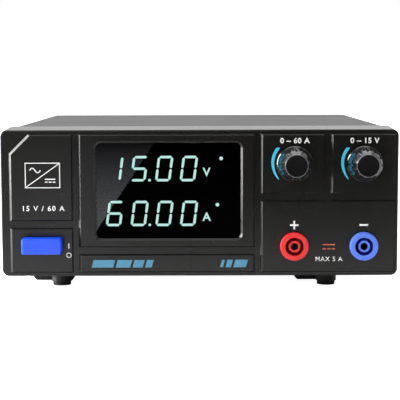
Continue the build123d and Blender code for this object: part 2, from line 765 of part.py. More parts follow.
def side_vents(side):
    """Row of upright slots through one side of the cover."""
    outer = side * CASE_W / 2
    inner = side * (CASE_W / 2 - COVER_T)
    slots = []
    for number in range(VENT_COUNT):
        y = VENT_Y + number * VENT_PITCH
        slots.append(
            block(
                (min(outer, inner), max(outer, inner)),
                (y, y + VENT_W),
                (VENT_BOTTOM, VENT_BOTTOM + VENT_H),
            )
        )
    return slots


def cover_screw_places():
    """Axis end on the outer side, the side and its turn, for each cover screw."""
    places = []
    for side, turn in ((-1, TO_LEFT), (1, TO_RIGHT)):
        for y in (COVER_SCREW_Y0, (COVER_SCREW_Y0 + COVER_SCREW_Y1) / 2, COVER_SCREW_Y1):
            places.append(Pos(side * CASE_W / 2, y, FLOOR_Z + COVER_SCREW_RISE) * turn)
    return places


def screw_holes(places, radius=M3_R + M3_FIT, length=M3_L):
    """Clearance holes below the head of each screw."""
    return [place * Pos(0, 0, -length / 2) * Cylinder(radius, length) for place in places]


def top_cover():
    """Folded cover of roof and sides, with vents and screw holes."""
    shape = prism(cover_profile(0) - cover_profile(COVER_T), BEZEL_D, CASE_D)
    shape -= side_vents(-1) + side_vents(1)
    return shape - screw_holes(cover_screw_places())


def foot_screw_places():
    """Screws that hold the feet under the chassis, heads down."""
    places = []
    inset = M3_HEAD_R + M3_FIT
    for x in FOOT_XS.values():
        places.append(Pos(x - FOOT_PLATE_LEFT + inset, FOOT_Y, FOOT_PLATE_Z) * DOWN)
        places.append(Pos(x + FOOT_PLATE_RIGHT - inset, LEG_Y0 + LEG_W / 2, FOOT_PLATE_Z) * DOWN)
    for x in REAR_FOOT_XS:
        places.append(Pos(x, REAR_FOOT_Y, FOOT_WELL_D) * DOWN)
    return places


def bezel_screw_places():
    """Screws through the chassis flange and the brace into the bezel's posts."""
    places = []
    for x in BOSS_XS:
        for z in (BOSS_LOW_Z, BOSS_HIGH_Z):
            places.append(Pos(x, BEZEL_D + CHASSIS_T, z) * TO_REAR)
    return places


def board_screw_places():
    """Screws down through the main board into its standoffs."""
    return [Pos(x, y, BOARD_TOP) for x in STANDOFF_XS for y in STANDOFF_YS]


def rear_panel_screw_places():
    """Screws through the rear panel into the chassis flange."""
    z = FLOOR_Z + CHASSIS_FLANGE / 2
    left = FAN_X + FAN_W / 2 + BOSS_INSET_X
    return [Pos(x, CASE_D, z) * TO_REAR for x in (left, CHASSIS_X - BOSS_INSET_X)]


def bottom_chassis():
    """Folded tray with four flanges and the holes of the screws."""
    x = CHASSIS_X
    back = REAR_INNER
    tray = block((-x, x), (BEZEL_D, CASE_D), (CASE_BOTTOM, FLOOR_Z))
    top = FLOOR_Z + CHASSIS_FLANGE
    tray += block((-x, -x + CHASSIS_T), (BEZEL_D, back), (FLOOR_Z, top))
    tray += block((x - CHASSIS_T, x), (BEZEL_D, back), (FLOOR_Z, top))
    tray += block((-x, x), (BEZEL_D, BEZEL_D + CHASSIS_T), (FLOOR_Z, top))
    tray += block((-x, x), (back - CHASSIS_T, back), (FLOOR_Z, top))
    for jack_x in JACK_XS.values():
        notch = JACK_NUT_R + SHEET_GAP
        tray -= block((jack_x - notch, jack_x + notch), (BEZEL_D, BEZEL_D + CHASSIS_T), (FLOOR_Z, top))
    fan_x = (FAN_X - FAN_W / 2 - SHEET_GAP, FAN_X + FAN_W / 2 + SHEET_GAP)
    fan_z = (FAN_Z - FAN_W / 2 - SHEET_GAP, CASE_TOP)
    tray -= block(fan_x, (back - CHASSIS_T, back), fan_z)
    tray -= screw_holes(cover_screw_places()) + screw_holes(foot_screw_places())
    tray -= screw_holes(bezel_screw_places()) + screw_holes(rear_panel_screw_places())
    return tray


def front_brace():
    """Angle strip under the front of the roof, screwed to the upper posts."""
    x = CHASSIS_X - BRACE_INSET
    top = CASE_TOP - COVER_T
    upright = block((-x, x), (BEZEL_D, BEZEL_D + CHASSIS_T), (top - BRACE_LEG, top))
    shelf = block((-x, x), (BEZEL_D, BEZEL_D + BRACE_DEPTH), (top - CHASSIS_T, top))
    return upright + shelf - screw_holes(bezel_screw_places())


def inlet_screw_places():
    """Screws of the mains inlet."""
    offset = INLET_SCREW_SPACING / 2
    y = CASE_D + INLET_FLANGE_T
    return [Pos(x, y, INLET_Z) * TO_REAR for x in (INLET_X - offset, INLET_X + offset)]


def fan_screw_places():
    """Corners of the fan, on the guard's eyes."""
    offset = FAN_HOLE_SPACING / 2
    y = CASE_D + 2 * GUARD_WIRE_R
    return [
        Pos(FAN_X + dx, y, FAN_Z + dz) * TO_REAR
        for dx in (-offset, offset)
        for dz in (-offset, offset)
    ]


def rear_panel():
    """Rear plate with the fan's opening, the inlet's cut-out and the studs' holes."""
    outline = cover_profile(COVER_T + SHEET_GAP)
    plate = prism(outline, REAR_INNER, CASE_D)
    plate -= block((-CASE_W, CASE_W), (REAR_INNER, CASE_D), (0, FLOOR_Z))
    plate -= rod(FAN_X, FAN_Z, REAR_INNER, CASE_D, FAN_DUCT_R)
    cut = Rectangle(INLET_BODY_W + 2 * INLET_FIT, INLET_BODY_H + 2 * INLET_FIT)
    plate -= prism(Pos(INLET_X, INLET_Z) * cut, REAR_INNER, CASE_D)
    for x in STUD_XS.values():
        plate -= rod(x, STUD_Z, REAR_INNER, CASE_D, BARREL_R + STUD_FIT)
    plate -= screw_holes(rear_panel_screw_places()) + screw_holes(inlet_screw_places())
    return plate - screw_holes(fan_screw_places(), FAN_SCREW_R + M3_FIT)


def screws_at(places):
    """A group of equal pan-head screws."""
    return Compound(children=[place * pan_screw() for place in places])


# Feet

def foot_base(x):
    """Moulded foot: mounting plate, cup for the rubber pad and two ears for the leg."""
    plate = block(
        (x - FOOT_PLATE_LEFT, x + FOOT_PLATE_RIGHT),
        (FOOT_Y - FOOT_PLATE_FRONT, FOOT_PLATE_BACK),
        (FOOT_PLATE_Z, CASE_BOTTOM),
    )
    plate = fillet(plate.edges().filter_by(Axis.Z), FOOT_PLATE_T)
    cup = post(x, FOOT_Y, CUP_BOTTOM, FOOT_PLATE_Z, CUP_R)
    cup -= post(x, FOOT_Y, CUP_BOTTOM, FOOT_PAD_H, FOOT_PAD_R + FOOT_PAD_FIT)
    axis_x = x + LEG_AXIS_X
    base = plate + cup
    for y0 in (LEG_Y0 - LEG_SIDE_GAP - EAR_T, LEG_Y1 + LEG_SIDE_GAP):
        web = block((axis_x - EAR_R, axis_x + EAR_R), (y0, y0 + EAR_T), (LEG_AXIS_Z, FOOT_PLATE_Z))
        base += web + rod(axis_x, LEG_AXIS_Z, y0, y0 + EAR_T, EAR_R)
        base -= rod(axis_x, LEG_AXIS_Z, y0, y0 + EAR_T, LEG_PIN_R + LEG_PIN_FIT)
    return base - screw_holes(foot_screw_places())


def tilt_leg(x):
    """Fold-out leg, folded to the left, with a barrel on its pin and a cut tip."""
    axis_x = x + LEG_AXIS_X
    tip = axis_x - LEG_L
    top = LEG_BOTTOM + LEG_T
    points = [
        (axis_x, LEG_BOTTOM),
        (tip + LEG_TIP, LEG_BOTTOM),
        (tip, LEG_BOTTOM + LEG_TIP),
        (tip, top),
        (axis_x, top),
    ]
    blade = prism(make_face(Polyline(*points, close=True)), LEG_Y0, LEG_Y1)
    barrel = rod(axis_x, LEG_AXIS_Z, LEG_Y0, LEG_Y1, LEG_BARREL_R)
    return blade + barrel - rod(axis_x, LEG_AXIS_Z, LEG_Y0, LEG_Y1, LEG_PIN_R + LEG_PIN_FIT)


def leg_pins():
    """Steel pins of the two legs."""
    y0 = LEG_Y0 - LEG_SIDE_GAP - EAR_T
    y1 = LEG_Y1 + LEG_SIDE_GAP + EAR_T
    return Compound(children=[rod(x + LEG_AXIS_X, LEG_AXIS_Z, y0, y1, LEG_PIN_R) for x in FOOT_XS.values()])


def front_foot_pads():
    """Rubber pads pressed into the cups."""
    return Compound(children=[post(x, FOOT_Y, 0, FOOT_PAD_H, FOOT_PAD_R) for x in FOOT_XS.values()])


def rear_feet():
    """Tapered rubber feet with a well for the screw."""
    feet = []
    for x in REAR_FOOT_XS:
        lower = Pos(x, REAR_FOOT_Y, 0) * Circle(REAR_FOOT_R - REAR_FOOT_TAPER)
        upper = Pos(x, REAR_FOOT_Y, CASE_BOTTOM) * Circle(REAR_FOOT_R)
        foot = loft([lower, upper])
        foot -= post(x, REAR_FOOT_Y, 0, FOOT_WELL_D, FOOT_WELL_R)
        feet.append(foot - post(x, REAR_FOOT_Y, FOOT_WELL_D, CASE_BOTTOM, M3_R + M3_FIT))
    return Compound(children=feet)


# Fan

def fan_housing():
    """Square frame with a round duct, struts, the motor's stator and the bearing tube."""
    centre = Pos(FAN_X, FAN_Z)
    frame = prism(centre * RectangleRounded(FAN_W, FAN_W, FAN_CORNER), FAN_FRONT, FAN_BACK)
    frame -= rod(FAN_X, FAN_Z, FAN_FRONT, FAN_BACK, FAN_DUCT_R)
    seat_y = FAN_FRONT + FAN_SEAT_T
    strut = Pos(FAN_W / 4, 0) * Rectangle(FAN_W / 2 - FAN_STRUT_W / 2, FAN_STRUT_W)
    for number in range(FAN_STRUTS):
        turn = Rot(0, 0, 45 + number * 360 / FAN_STRUTS)
        frame += prism(centre * turn * strut, FAN_FRONT, seat_y)
    frame += rod(FAN_X, FAN_Z, FAN_FRONT, seat_y, HUB_R)
    frame += rod(FAN_X, FAN_Z, seat_y, seat_y + STATOR_L, STATOR_R)
    frame += rod(FAN_X, FAN_Z, seat_y, seat_y + STATOR_L + HUB_GAP, BEARING_R)
    bore_end = seat_y + STATOR_L + HUB_GAP
    frame -= rod(FAN_X, FAN_Z, FAN_FRONT + FAN_SEAT_T / 2, bore_end, FAN_SHAFT_R + FAN_SHAFT_FIT)
    return frame - screw_holes(fan_screw_places(), FAN_SCREW_R + M3_FIT, FAN_D + FAN_SCREW_L)


def blade_section(radius, chord, pitch):
    """Curved section of a blade across the radius."""
    half = chord / 2
    inner = ThreePointArc((-half, 0), (0, BLADE_CAMBER), (half, 0))
    outer = ThreePointArc((half, BLADE_T), (0, BLADE_CAMBER + BLADE_T), (-half, BLADE_T))
    edges = [inner, Line((half, 0), (half, BLADE_T)), outer, Line((-half, BLADE_T), (-half, 0))]
    plane = Plane(origin=(radius, 0, 0), x_dir=(0, 1, 0), z_dir=(1, 0, 0))
    return plane * Rot(0, 0, pitch) * make_face(edges)


def fan_rotor():
    """Hub cup with its shaft and twisted blades."""
    seat_y = FAN_FRONT + FAN_SEAT_T
    hub_y = seat_y + HUB_GAP
    floor_y = seat_y + STATOR_L + 2 * HUB_GAP
    back_y = floor_y + HUB_FLOOR
    middle = (hub_y + back_y) / 2
    half = (back_y - hub_y) / 2
    blade = loft([
        blade_section(HUB_R - HUB_WALL / 2, BLADE_ROOT_CHORD, BLADE_ROOT_PITCH),
        blade_section(BLADE_TIP_R + HUB_WALL, BLADE_TIP_CHORD, BLADE_TIP_PITCH),
    ])
    blade &= Rot(90, 0, 0) * Cylinder(BLADE_TIP_R, 2 * half)
    rotor = rod(0, 0, -half, half, HUB_R)
    for number in range(BLADES):
        rotor += Rot(0, number * 360 / BLADES, 0) * blade
    rotor -= rod(0, 0, -half, half - HUB_FLOOR, HUB_R - HUB_WALL)
    rotor = Pos(FAN_X, middle, FAN_Z) * rotor
    return rotor + rod(FAN_X, FAN_Z, seat_y, back_y, FAN_SHAFT_R)


def fan_guard():
    """Wire guard: rings, four spokes and an eye at each screw."""
    eye_y = CASE_D + GUARD_WIRE_R
    wires = []
    for radius in GUARD_RINGS:
        wires.append(Pos(FAN_X, eye_y + GUARD_LIFT, FAN_Z) * TO_REAR * Torus(radius, GUARD_WIRE_R))
    start = GUARD_RINGS[0] - GUARD_WELD
    reach = FAN_HOLE_SPACING / sqrt(2) - GUARD_EYE_R - GUARD_WELD
    spoke = Pos((start + reach) / 2, 0, 0) * Rot(0, 90, 0) * Cylinder(GUARD_SPOKE_R, reach - start)
    for number in range(4):
        turn = Rot(0, 45 + number * 90, 0)
        wires.append(Pos(FAN_X, eye_y, FAN_Z) * turn * spoke)
    for place in fan_screw_places():
        wires.append(place * Pos(0, 0, -GUARD_WIRE_R) * Torus(GUARD_EYE_R, GUARD_WIRE_R))
    guard = wires[0]
    for wire in wires[1:]:
        guard += wire
    return guard


def fan_screws():
    """Long screws through the guard and the panel into the fan."""
    screw = pan_screw(FAN_SCREW_R, FAN_HEAD_R, FAN_HEAD_H, FAN_SCREW_L)
    return Compound(children=[place * screw for place in fan_screw_places()])


# Mains inlet

def inlet_pin_places():
    """Centres of the two line pins and the earth pin."""
    half = PIN_SPACING / 2
    low = INLET_Z - EARTH_RISE / 2
    return [(INLET_X - half, low), (INLET_X + half, low), (INLET_X, low + EARTH_RISE)]


def mains_inlet():
    """Inlet body with a pointed flange, a well with two cut corners and slots for its pins."""
    w = INLET_FLANGE_W / 2
    h = INLET_FLANGE_H / 2
    b = INLET_BODY_W / 2 + SWITCH_WALL
    tip = h / 2
    points = [(-b, -h), (b, -h), (w, -tip), (w, tip), (b, h), (-b, h), (-w, tip), (-w, -tip)]
    centre = Pos(INLET_X, INLET_Z)
    outline = make_face(Polyline(*points, close=True))
    shape = prism(centre * outline, CASE_D, CASE_D + INLET_FLANGE_T)
    body = centre * Rectangle(INLET_BODY_W, INLET_BODY_H)
    shape += prism(body, CASE_D - INLET_BODY_D, CASE_D)
    x = INLET_WELL_W / 2
    z = INLET_WELL_H / 2
    c = INLET_WELL_CORNER
    corners = [(-x, -z), (x, -z), (x, z - c), (x - c, z), (c - x, z), (-x, z - c)]
    well = centre * make_face(Polyline(*corners, close=True))
    face_y = CASE_D + INLET_FLANGE_T
    shape -= prism(well, face_y - INLET_WELL_D, face_y)
    for pin_x, pin_z in inlet_pin_places():
        slot = Pos(pin_x, pin_z) * Rectangle(BLADE_PIN_W + 2 * PIN_FIT, BLADE_PIN_H + 2 * PIN_FIT)
        shape -= prism(slot, CASE_D - INLET_BODY_D, face_y)
    return shape - screw_holes(inlet_screw_places())


def inlet_pins():
    """Three blade pins with their tails."""
    face_y = CASE_D + INLET_FLANGE_T
    start = CASE_D - INLET_BODY_D - BLADE_PIN_TAIL
    end = face_y - INLET_WELL_D + BLADE_PIN_L
    pins = []
    for x, z in inlet_pin_places():
        pins.append(prism(Pos(x, z) * Rectangle(BLADE_PIN_W, BLADE_PIN_H), start, end))
    return Compound(children=pins)


# Output studs

def stud_insulator(x):
    """Moulded insulator: square flange outside and a barrel through the panel."""
    flange = Pos(x, STUD_Z) * RectangleRounded(INSULATOR_W, INSULATOR_W, INSULATOR_CORNER)
    body = prism(flange, CASE_D, CASE_D + INSULATOR_T)
    body = fillet(body.edges().group_by(Axis.Y)[-1], PANEL_EDGE_R)
    body += rod(x, STUD_Z, BARREL_END, CASE_D, BARREL_R)
    return body - rod(x, STUD_Z, BARREL_END, CASE_D + INSULATOR_T, STUD_R + STUD_FIT)


def output_studs():
    """Hexagon bolts through the rear panel, with a relief groove outside the nut."""
    studs = []
    for x in STUD_XS.values():
        head_y = BARREL_END - BUSBAR_T
        head = prism(Pos(x, STUD_Z) * hexagon(STUD_HEAD_W), head_y - STUD_HEAD_T, head_y)
        shank = rod(x, STUD_Z, head_y, STUD_END, STUD_R)
        shank = chamfer(shank.edges().group_by(Axis.Y)[-1], PANEL_EDGE_R)
        groove = Pos(x, STUD_Z) * (Circle(STUD_R) - Circle(STUD_GROOVE_R))
        shank -= prism(groove, NUT_END, NUT_END + STUD_GROOVE_L)
        studs.append(head + shank)
    return Compound(children=studs)


def stud_nuts():
    """Flange nuts outside the insulators."""
    nuts = []
    y = CASE_D + INSULATOR_T
    for x in STUD_XS.values():
        nut = rod(x, STUD_Z, y, y + NUT_FLANGE_T, NUT_FLANGE_R)
        nut += prism(Pos(x, STUD_Z) * hexagon(NUT_W), y + NUT_FLANGE_T, y + NUT_FLANGE_T + NUT_T)
        nuts.append(nut - rod(x, STUD_Z, y, y + NUT_FLANGE_T + NUT_T, STUD_R + M3_FIT))
    return Compound(children=nuts)


def busbars():
    """Copper angles from the board's rear edge up to the studs."""
    bars = []
    back = BARREL_END
    for x in STUD_XS.values():
        side = (x - BUSBAR_W / 2, x + BUSBAR_W / 2)
        upright = block(side, (back - BUSBAR_T, back), (BOARD_TOP, STUD_Z + BUSBAR_W / 2))
        foot = block(side, (BOARD_BACK - BUSBAR_FOOT, back - BUSBAR_T), (BOARD_TOP, BOARD_TOP + BUSBAR_T))
        hole = rod(x, STUD_Z, back - BUSBAR_T, back, STUD_R + STUD_FIT)
        bars.append(upright + foot - hole)
    return Compound(children=bars)


# Main board and its parts

def main_board():
    """Power board on its standoffs."""
    board = block((-BOARD_X, BOARD_X), (BOARD_FRONT, BOARD_BACK), (BOARD_Z, BOARD_TOP))
    return board - screw_holes(board_screw_places())


def board_standoffs():
    """Hexagon posts between the chassis and the board."""
    posts = []
    for x in STANDOFF_XS:
        for y in STANDOFF_YS:
            body = extrude(Pos(x, y, FLOOR_Z) * hexagon(STANDOFF_W), amount=BOARD_RISE)
            posts.append(body - post(x, y, BOARD_TOP - M3_L, BOARD_Z, M3_R + M3_FIT))
    return Compound(children=posts)


def transformer_core():
    """Two-window ferrite core, lying flat round its coil."""
    def slab(x0, x1, y0, y1):
        return block(
            (CORE_X + x0, CORE_X + x1),
            (CORE_Y + y0, CORE_Y + y1),
            (CORE_Z - CORE_H / 2, CORE_Z + CORE_H / 2),
        )
    w = CORE_W / 2
    length = CORE_L / 2
    core = slab(-w, w, -length, length)
    for side in (-1, 1):
        inner = side * CORE_LEG / 2
        outer = side * (w - CORE_YOKE / 2 - COIL_GAP)
        core -= slab(min(inner, outer), max(inner, outer), CORE_YOKE - length, length - CORE_YOKE)
    return core


def transformer_winding():
    """Coil round the core's middle leg, standing on the board."""
    length = CORE_L / 2 - CORE_YOKE - COIL_GAP
    y = (CORE_Y - length, CORE_Y + length)
    coil = block((CORE_X - COIL_W / 2, CORE_X + COIL_W / 2), y, (BOARD_TOP, BOARD_TOP + COIL_H))
    coil = fillet(coil.edges().filter_by(Axis.Y), COIL_GAP * 10)
    leg = CORE_LEG / 2 + COIL_GAP
    tall = CORE_H / 2 + COIL_GAP
    return coil - block((CORE_X - leg, CORE_X + leg), y, (CORE_Z - tall, CORE_Z + tall))


def output_choke():
    """Wound ring core beside the output."""
    y = BOARD_BACK - BUSBAR_FOOT - CHOKE_R - CHOKE_EDGE
    ring = post(STUD_XS["negative"], y, BOARD_TOP, BOARD_TOP + CHOKE_H, CHOKE_R)
    ring -= post(STUD_XS["negative"], y, BOARD_TOP, BOARD_TOP + CHOKE_H, CHOKE_HOLE_R)
    return fillet(ring.edges().group_by(Axis.Z)[-1], CHOKE_EDGE)


def primary_capacitors():
    """Two large capacitors beside the transformer, behind the sockets' leads."""
    x = CORE_X + CORE_W / 2 + PART_GAP + PRIMARY_CAP_R
    first = LEAD_END + LEAD_R + PART_GAP + PRIMARY_CAP_R
    cans = []
    for y in (first, first + 2 * PRIMARY_CAP_R + PART_GAP):
        can = post(x, y, BOARD_TOP, BOARD_TOP + PRIMARY_CAP_H, PRIMARY_CAP_R)
        cans.append(fillet(can.edges().group_by(Axis.Z)[-1], COIL_GAP * 3))
    return Compound(children=cans)


def output_capacitors():
    """Output capacitors in two columns, beside the choke and in front of the studs."""
    x = STUD_XS["negative"] - CHOKE_R - CHOKE_EDGE - OUTPUT_CAP_R
    y = BOARD_BACK - BUSBAR_FOOT - OUTPUT_CAP_R - CHOKE_EDGE
    pitch = 2 * OUTPUT_CAP_R + PART_GAP
    cans = []
    for number in range(OUTPUT_CAPS):
        place = (x - number % 2 * pitch, y - number // 2 * pitch)
        can = post(*place, BOARD_TOP, BOARD_TOP + OUTPUT_CAP_H, OUTPUT_CAP_R)
        cans.append(fillet(can.edges().group_by(Axis.Z)[-1], COIL_GAP * 2))
    return Compound(children=cans)


def heatsink(side):
    """Finned heatsink along one side of the board."""
    base_x = side * SINK_X
    depth = (SINK_Y, SINK_Y + SINK_L)
    height = (BOARD_TOP, BOARD_TOP + SINK_H)
    def across(a, b):
        return (min(base_x + side * a, base_x + side * b), max(base_x + side * a, base_x + side * b))
    sink = block(across(0, SINK_BASE), depth, height)
    pitch = (SINK_H - SINK_FIN_T) / (SINK_FINS - 1)
    for number in range(SINK_FINS):
        z = BOARD_TOP + number * pitch
        sink += block(across(SINK_BASE, SINK_BASE + SINK_FIN), depth, (z, z + SINK_FIN_T))
    return sink


def power_transistors():
    """Power transistors clamped to the heatsinks."""
    parts = []
    for side in (-1, 1):
        inner = side * (SINK_X - TRANSISTOR_T)
        outer = side * SINK_X
        for number in range(TRANSISTORS):
            y = SINK_Y + (number + 0.5) * SINK_L / TRANSISTORS
            parts.append(
                block(
                    (min(inner, outer), max(inner, outer)),
                    (y - TRANSISTOR_W / 2, y + TRANSISTOR_W / 2),
                    (BOARD_TOP + SINK_BASE, BOARD_TOP + SINK_BASE + TRANSISTOR_H),
                )
            )
    return Compound(children=parts)


save("front_bezel", front_bezel())
save("display_lens", display_lens())
save("display_module", display_module())
save("control_board", control_board())
save("power_button", power_button())
save("power_switch", power_switch())
for name, place in KNOB_XS.items():
    save(f"{name}_knob", knob(place))
    save(f"{name}_knob_cap", knob_cap(place))
    save(f"{name}_shaft", encoder_shaft(place))
    save(f"{name}_rotor", encoder_rotor(place))
    save(f"{name}_encoder", encoder_body(place))
save("encoder_nuts", encoder_nuts())
for name, place in JACK_XS.items():
    save(f"{name}_jack", jack(place))
    save(f"{name}_contact", jack_contact(place))
save("jack_nuts", jack_nuts())
save("socket_leads", socket_leads())
save("top_cover", top_cover())
save("bottom_chassis", bottom_chassis())
save("rear_panel", rear_panel())
save("front_brace", front_brace())
save("cover_screws", screws_at(cover_screw_places()))
save("bezel_screws", screws_at(bezel_screw_places()))
save("rear_screws", screws_at(rear_panel_screw_places() + inlet_screw_places()))
for name, place in FOOT_XS.items():
    save(f"{name}_foot", foot_base(place))
    save(f"{name}_tilt_leg", tilt_leg(place))
save("leg_pins", leg_pins())
save("front_foot_pads", front_foot_pads())
save("rear_feet", rear_feet())
save("foot_screws", screws_at(foot_screw_places()))
save("fan_housing", fan_housing())
save("fan_rotor", fan_rotor())
save("fan_guard", fan_guard())
save("fan_screws", fan_screws())
save("mains_inlet", mains_inlet())
save("inlet_pins", inlet_pins())
save("output_studs", output_studs())
for name, place in STUD_XS.items():
    save(f"{name}_insulator", stud_insulator(place))
save("stud_nuts", stud_nuts())
save("busbars", busbars())
save("main_board", main_board())
save("board_standoffs", board_standoffs())
save("board_screws", screws_at(board_screw_places()))
save("transformer_core", transformer_core())
save("transformer_winding", transformer_winding())
save("output_choke", output_choke())
save("primary_capacitors", primary_capacitors())
save("output_capacitors", output_capacitors())
save("heatsinks", Compound(children=[heatsink(-1), heatsink(1)]))
save("power_transistors", power_transistors())
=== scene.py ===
from math import cos, pi, radians, sin, tan

import bmesh
import bpy
from mathutils import Euler, Matrix, Vector


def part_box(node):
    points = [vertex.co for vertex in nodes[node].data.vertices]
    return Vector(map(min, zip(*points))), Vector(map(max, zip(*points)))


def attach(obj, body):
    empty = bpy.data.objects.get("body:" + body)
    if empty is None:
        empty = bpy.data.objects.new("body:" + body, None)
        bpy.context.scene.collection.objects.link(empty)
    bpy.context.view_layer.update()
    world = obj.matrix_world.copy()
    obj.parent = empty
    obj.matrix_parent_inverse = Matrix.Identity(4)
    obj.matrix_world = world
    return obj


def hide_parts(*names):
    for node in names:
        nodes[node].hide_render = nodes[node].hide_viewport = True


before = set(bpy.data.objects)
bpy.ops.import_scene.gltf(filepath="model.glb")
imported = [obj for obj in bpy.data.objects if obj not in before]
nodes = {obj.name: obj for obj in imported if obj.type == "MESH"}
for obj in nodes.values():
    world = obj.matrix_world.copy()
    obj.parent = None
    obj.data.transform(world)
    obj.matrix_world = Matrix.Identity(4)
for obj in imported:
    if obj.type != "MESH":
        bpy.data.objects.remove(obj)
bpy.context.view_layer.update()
MM = 0.001


# Front bezel: one deep moulding in charcoal ABS with a fine spark-eroded grain.
# Its face carries seven raised pads with bevelled sides. Four posts behind it take
# the screws of the chassis and the brace.

def finish_material(
    name, colour, rough, grain=0.0, grain_scale=900.0, tone=0.12, metal=0.0, coat=0.0, gleam=0.5,
):
    """Surface with slow shifts of tone and gloss and a fine grain in its relief."""
    material = bpy.data.materials.new(name)
    material.use_nodes = True
    tree = material.node_tree
    shader = tree.nodes["Principled BSDF"]
    shader.inputs["Metallic"].default_value = metal
    shader.inputs["Coat Weight"].default_value = coat
    shader.inputs["Specular IOR Level"].default_value = gleam
    place = tree.nodes.new("ShaderNodeTexCoord")
    cloud = tree.nodes.new("ShaderNodeTexNoise")
    cloud.inputs["Scale"].default_value = 14.0
    cloud.inputs["Detail"].default_value = 4.0
    tree.links.new(place.outputs["Object"], cloud.inputs["Vector"])
    ramp = tree.nodes.new("ShaderNodeValToRGB")
    ramp.color_ramp.elements[0].position = 0.3
    ramp.color_ramp.elements[1].position = 0.7
    ramp.color_ramp.elements[0].color = [c * (1 - tone) for c in colour] + [1.0]
    ramp.color_ramp.elements[1].color = [min(1.0, c * (1 + tone)) for c in colour] + [1.0]
    tree.links.new(cloud.outputs["Fac"], ramp.inputs["Fac"])
    tree.links.new(ramp.outputs["Color"], shader.inputs["Base Color"])
    gloss = tree.nodes.new("ShaderNodeMapRange")
    gloss.inputs["To Min"].default_value = max(0.02, rough * 0.88)
    gloss.inputs["To Max"].default_value = min(1.0, rough * 1.12)
    tree.links.new(cloud.outputs["Fac"], gloss.inputs["Value"])
    tree.links.new(gloss.outputs["Result"], shader.inputs["Roughness"])
    if grain:
        speck = tree.nodes.new("ShaderNodeTexNoise")
        speck.inputs["Scale"].default_value = grain_scale
        speck.inputs["Detail"].default_value = 2.0
        tree.links.new(place.outputs["Object"], speck.inputs["Vector"])
        bump = tree.nodes.new("ShaderNodeBump")
        bump.inputs["Strength"].default_value = grain
        bump.inputs["Distance"].default_value = 0.1 * MM
        tree.links.new(speck.outputs["Fac"], bump.inputs["Height"])
        tree.links.new(bump.outputs["Normal"], shader.inputs["Normal"])
    return material


def dress(material, *names):
    """Gives a finish to CAD nodes and rounds the shading of their curved faces."""
    for name in names:
        mesh = nodes[name].data
        mesh.materials.clear()
        mesh.materials.append(material)
        for face in mesh.polygons:
            face.use_smooth = True
        mesh.set_sharp_from_angle(angle=radians(32))


CHARCOAL = (0.0088, 0.0085, 0.0076)
panel_plastic = finish_material("panel_plastic", CHARCOAL, 0.27, grain=0.14, grain_scale=1400.0, gleam=0.34)
dress(panel_plastic, "front_bezel")
panel_low, panel_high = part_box("front_bezel")
PANEL_FACE_Y = panel_low[1]


# Display: a smoked acrylic window bonded behind the opening, and behind it the digit
# block with its two rows of four pale green figures, their points, units and lamps.

lens_material = bpy.data.materials.new("smoked_window")
lens_material.use_nodes = True
lens_tree = lens_material.node_tree
lens_shader = lens_tree.nodes["Principled BSDF"]
lens_shader.inputs["Transmission Weight"].default_value = 1.0
lens_shader.inputs["Roughness"].default_value = 0.0
lens_shader.inputs["IOR"].default_value = 1.45
lens_cloud = lens_tree.nodes.new("ShaderNodeTexNoise")
lens_cloud.inputs["Scale"].default_value = 6.0
lens_ramp = lens_tree.nodes.new("ShaderNodeValToRGB")
lens_ramp.color_ramp.elements[0].color = (0.30, 0.31, 0.31, 1.0)
lens_ramp.color_ramp.elements[1].color = (0.34, 0.35, 0.35, 1.0)
lens_tree.links.new(lens_cloud.outputs["Fac"], lens_ramp.inputs["Fac"])
lens_tree.links.new(lens_ramp.outputs["Color"], lens_shader.inputs["Base Color"])
dress(lens_material, "display_lens")

module_plastic = finish_material("module_plastic", (0.0015, 0.0015, 0.0017), 0.8, grain=0.1, gleam=0.02)
dress(module_plastic, "display_module")
module_low, module_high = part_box("display_module")
DIGIT_Y = module_low[1] + 0.6 * MM

figure_glow = bpy.data.materials.new("figure_glow")
figure_glow.use_nodes = True
glow_tree = figure_glow.node_tree
glow_shader = glow_tree.nodes["Principled BSDF"]
glow_shader.inputs["Base Color"].default_value = (0.02, 0.02, 0.02, 1.0)
glow_shader.inputs["Emission Strength"].default_value = 3.1
glow_cloud = glow_tree.nodes.new("ShaderNodeTexNoise")
glow_cloud.inputs["Scale"].default_value = 300.0
glow_ramp = glow_tree.nodes.new("ShaderNodeValToRGB")
GLOW = (0.56, 0.9, 0.84)
glow_ramp.color_ramp.elements[0].color = [c * 0.9 for c in GLOW] + [1.0]
glow_ramp.color_ramp.elements[1].color = list(GLOW) + [1.0]
glow_tree.links.new(glow_cloud.outputs["Fac"], glow_ramp.inputs["Fac"])
glow_tree.links.new(glow_ramp.outputs["Color"], glow_shader.inputs["Emission Color"])


def flat_piece(name, outlines, face_y, material):
    """Thin plate in the panel's plane from closed outlines of (x, z), standing proud of face_y."""
    sunk = 0.01 * MM
    proud = 0.06 * MM
    mesh = bpy.data.meshes.new(name)
    shape = bmesh.new()
    for outline in outlines:
        back = [shape.verts.new((x, face_y + sunk, z)) for x, z in outline]
        front = [shape.verts.new((x, face_y - proud, z)) for x, z in outline]
        shape.faces.new(back)
        shape.faces.new(list(reversed(front)))
        count = len(outline)
        for i in range(count):
            j = (i + 1) % count
            shape.faces.new((back[j], back[i], front[i], front[j]))
    bmesh.ops.recalc_face_normals(shape, faces=shape.faces)
    shape.to_mesh(mesh)
    shape.free()
    mesh.materials.append(material)
    piece = bpy.data.objects.new(name, mesh)
    bpy.context.collection.objects.link(piece)
    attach(piece, "case")


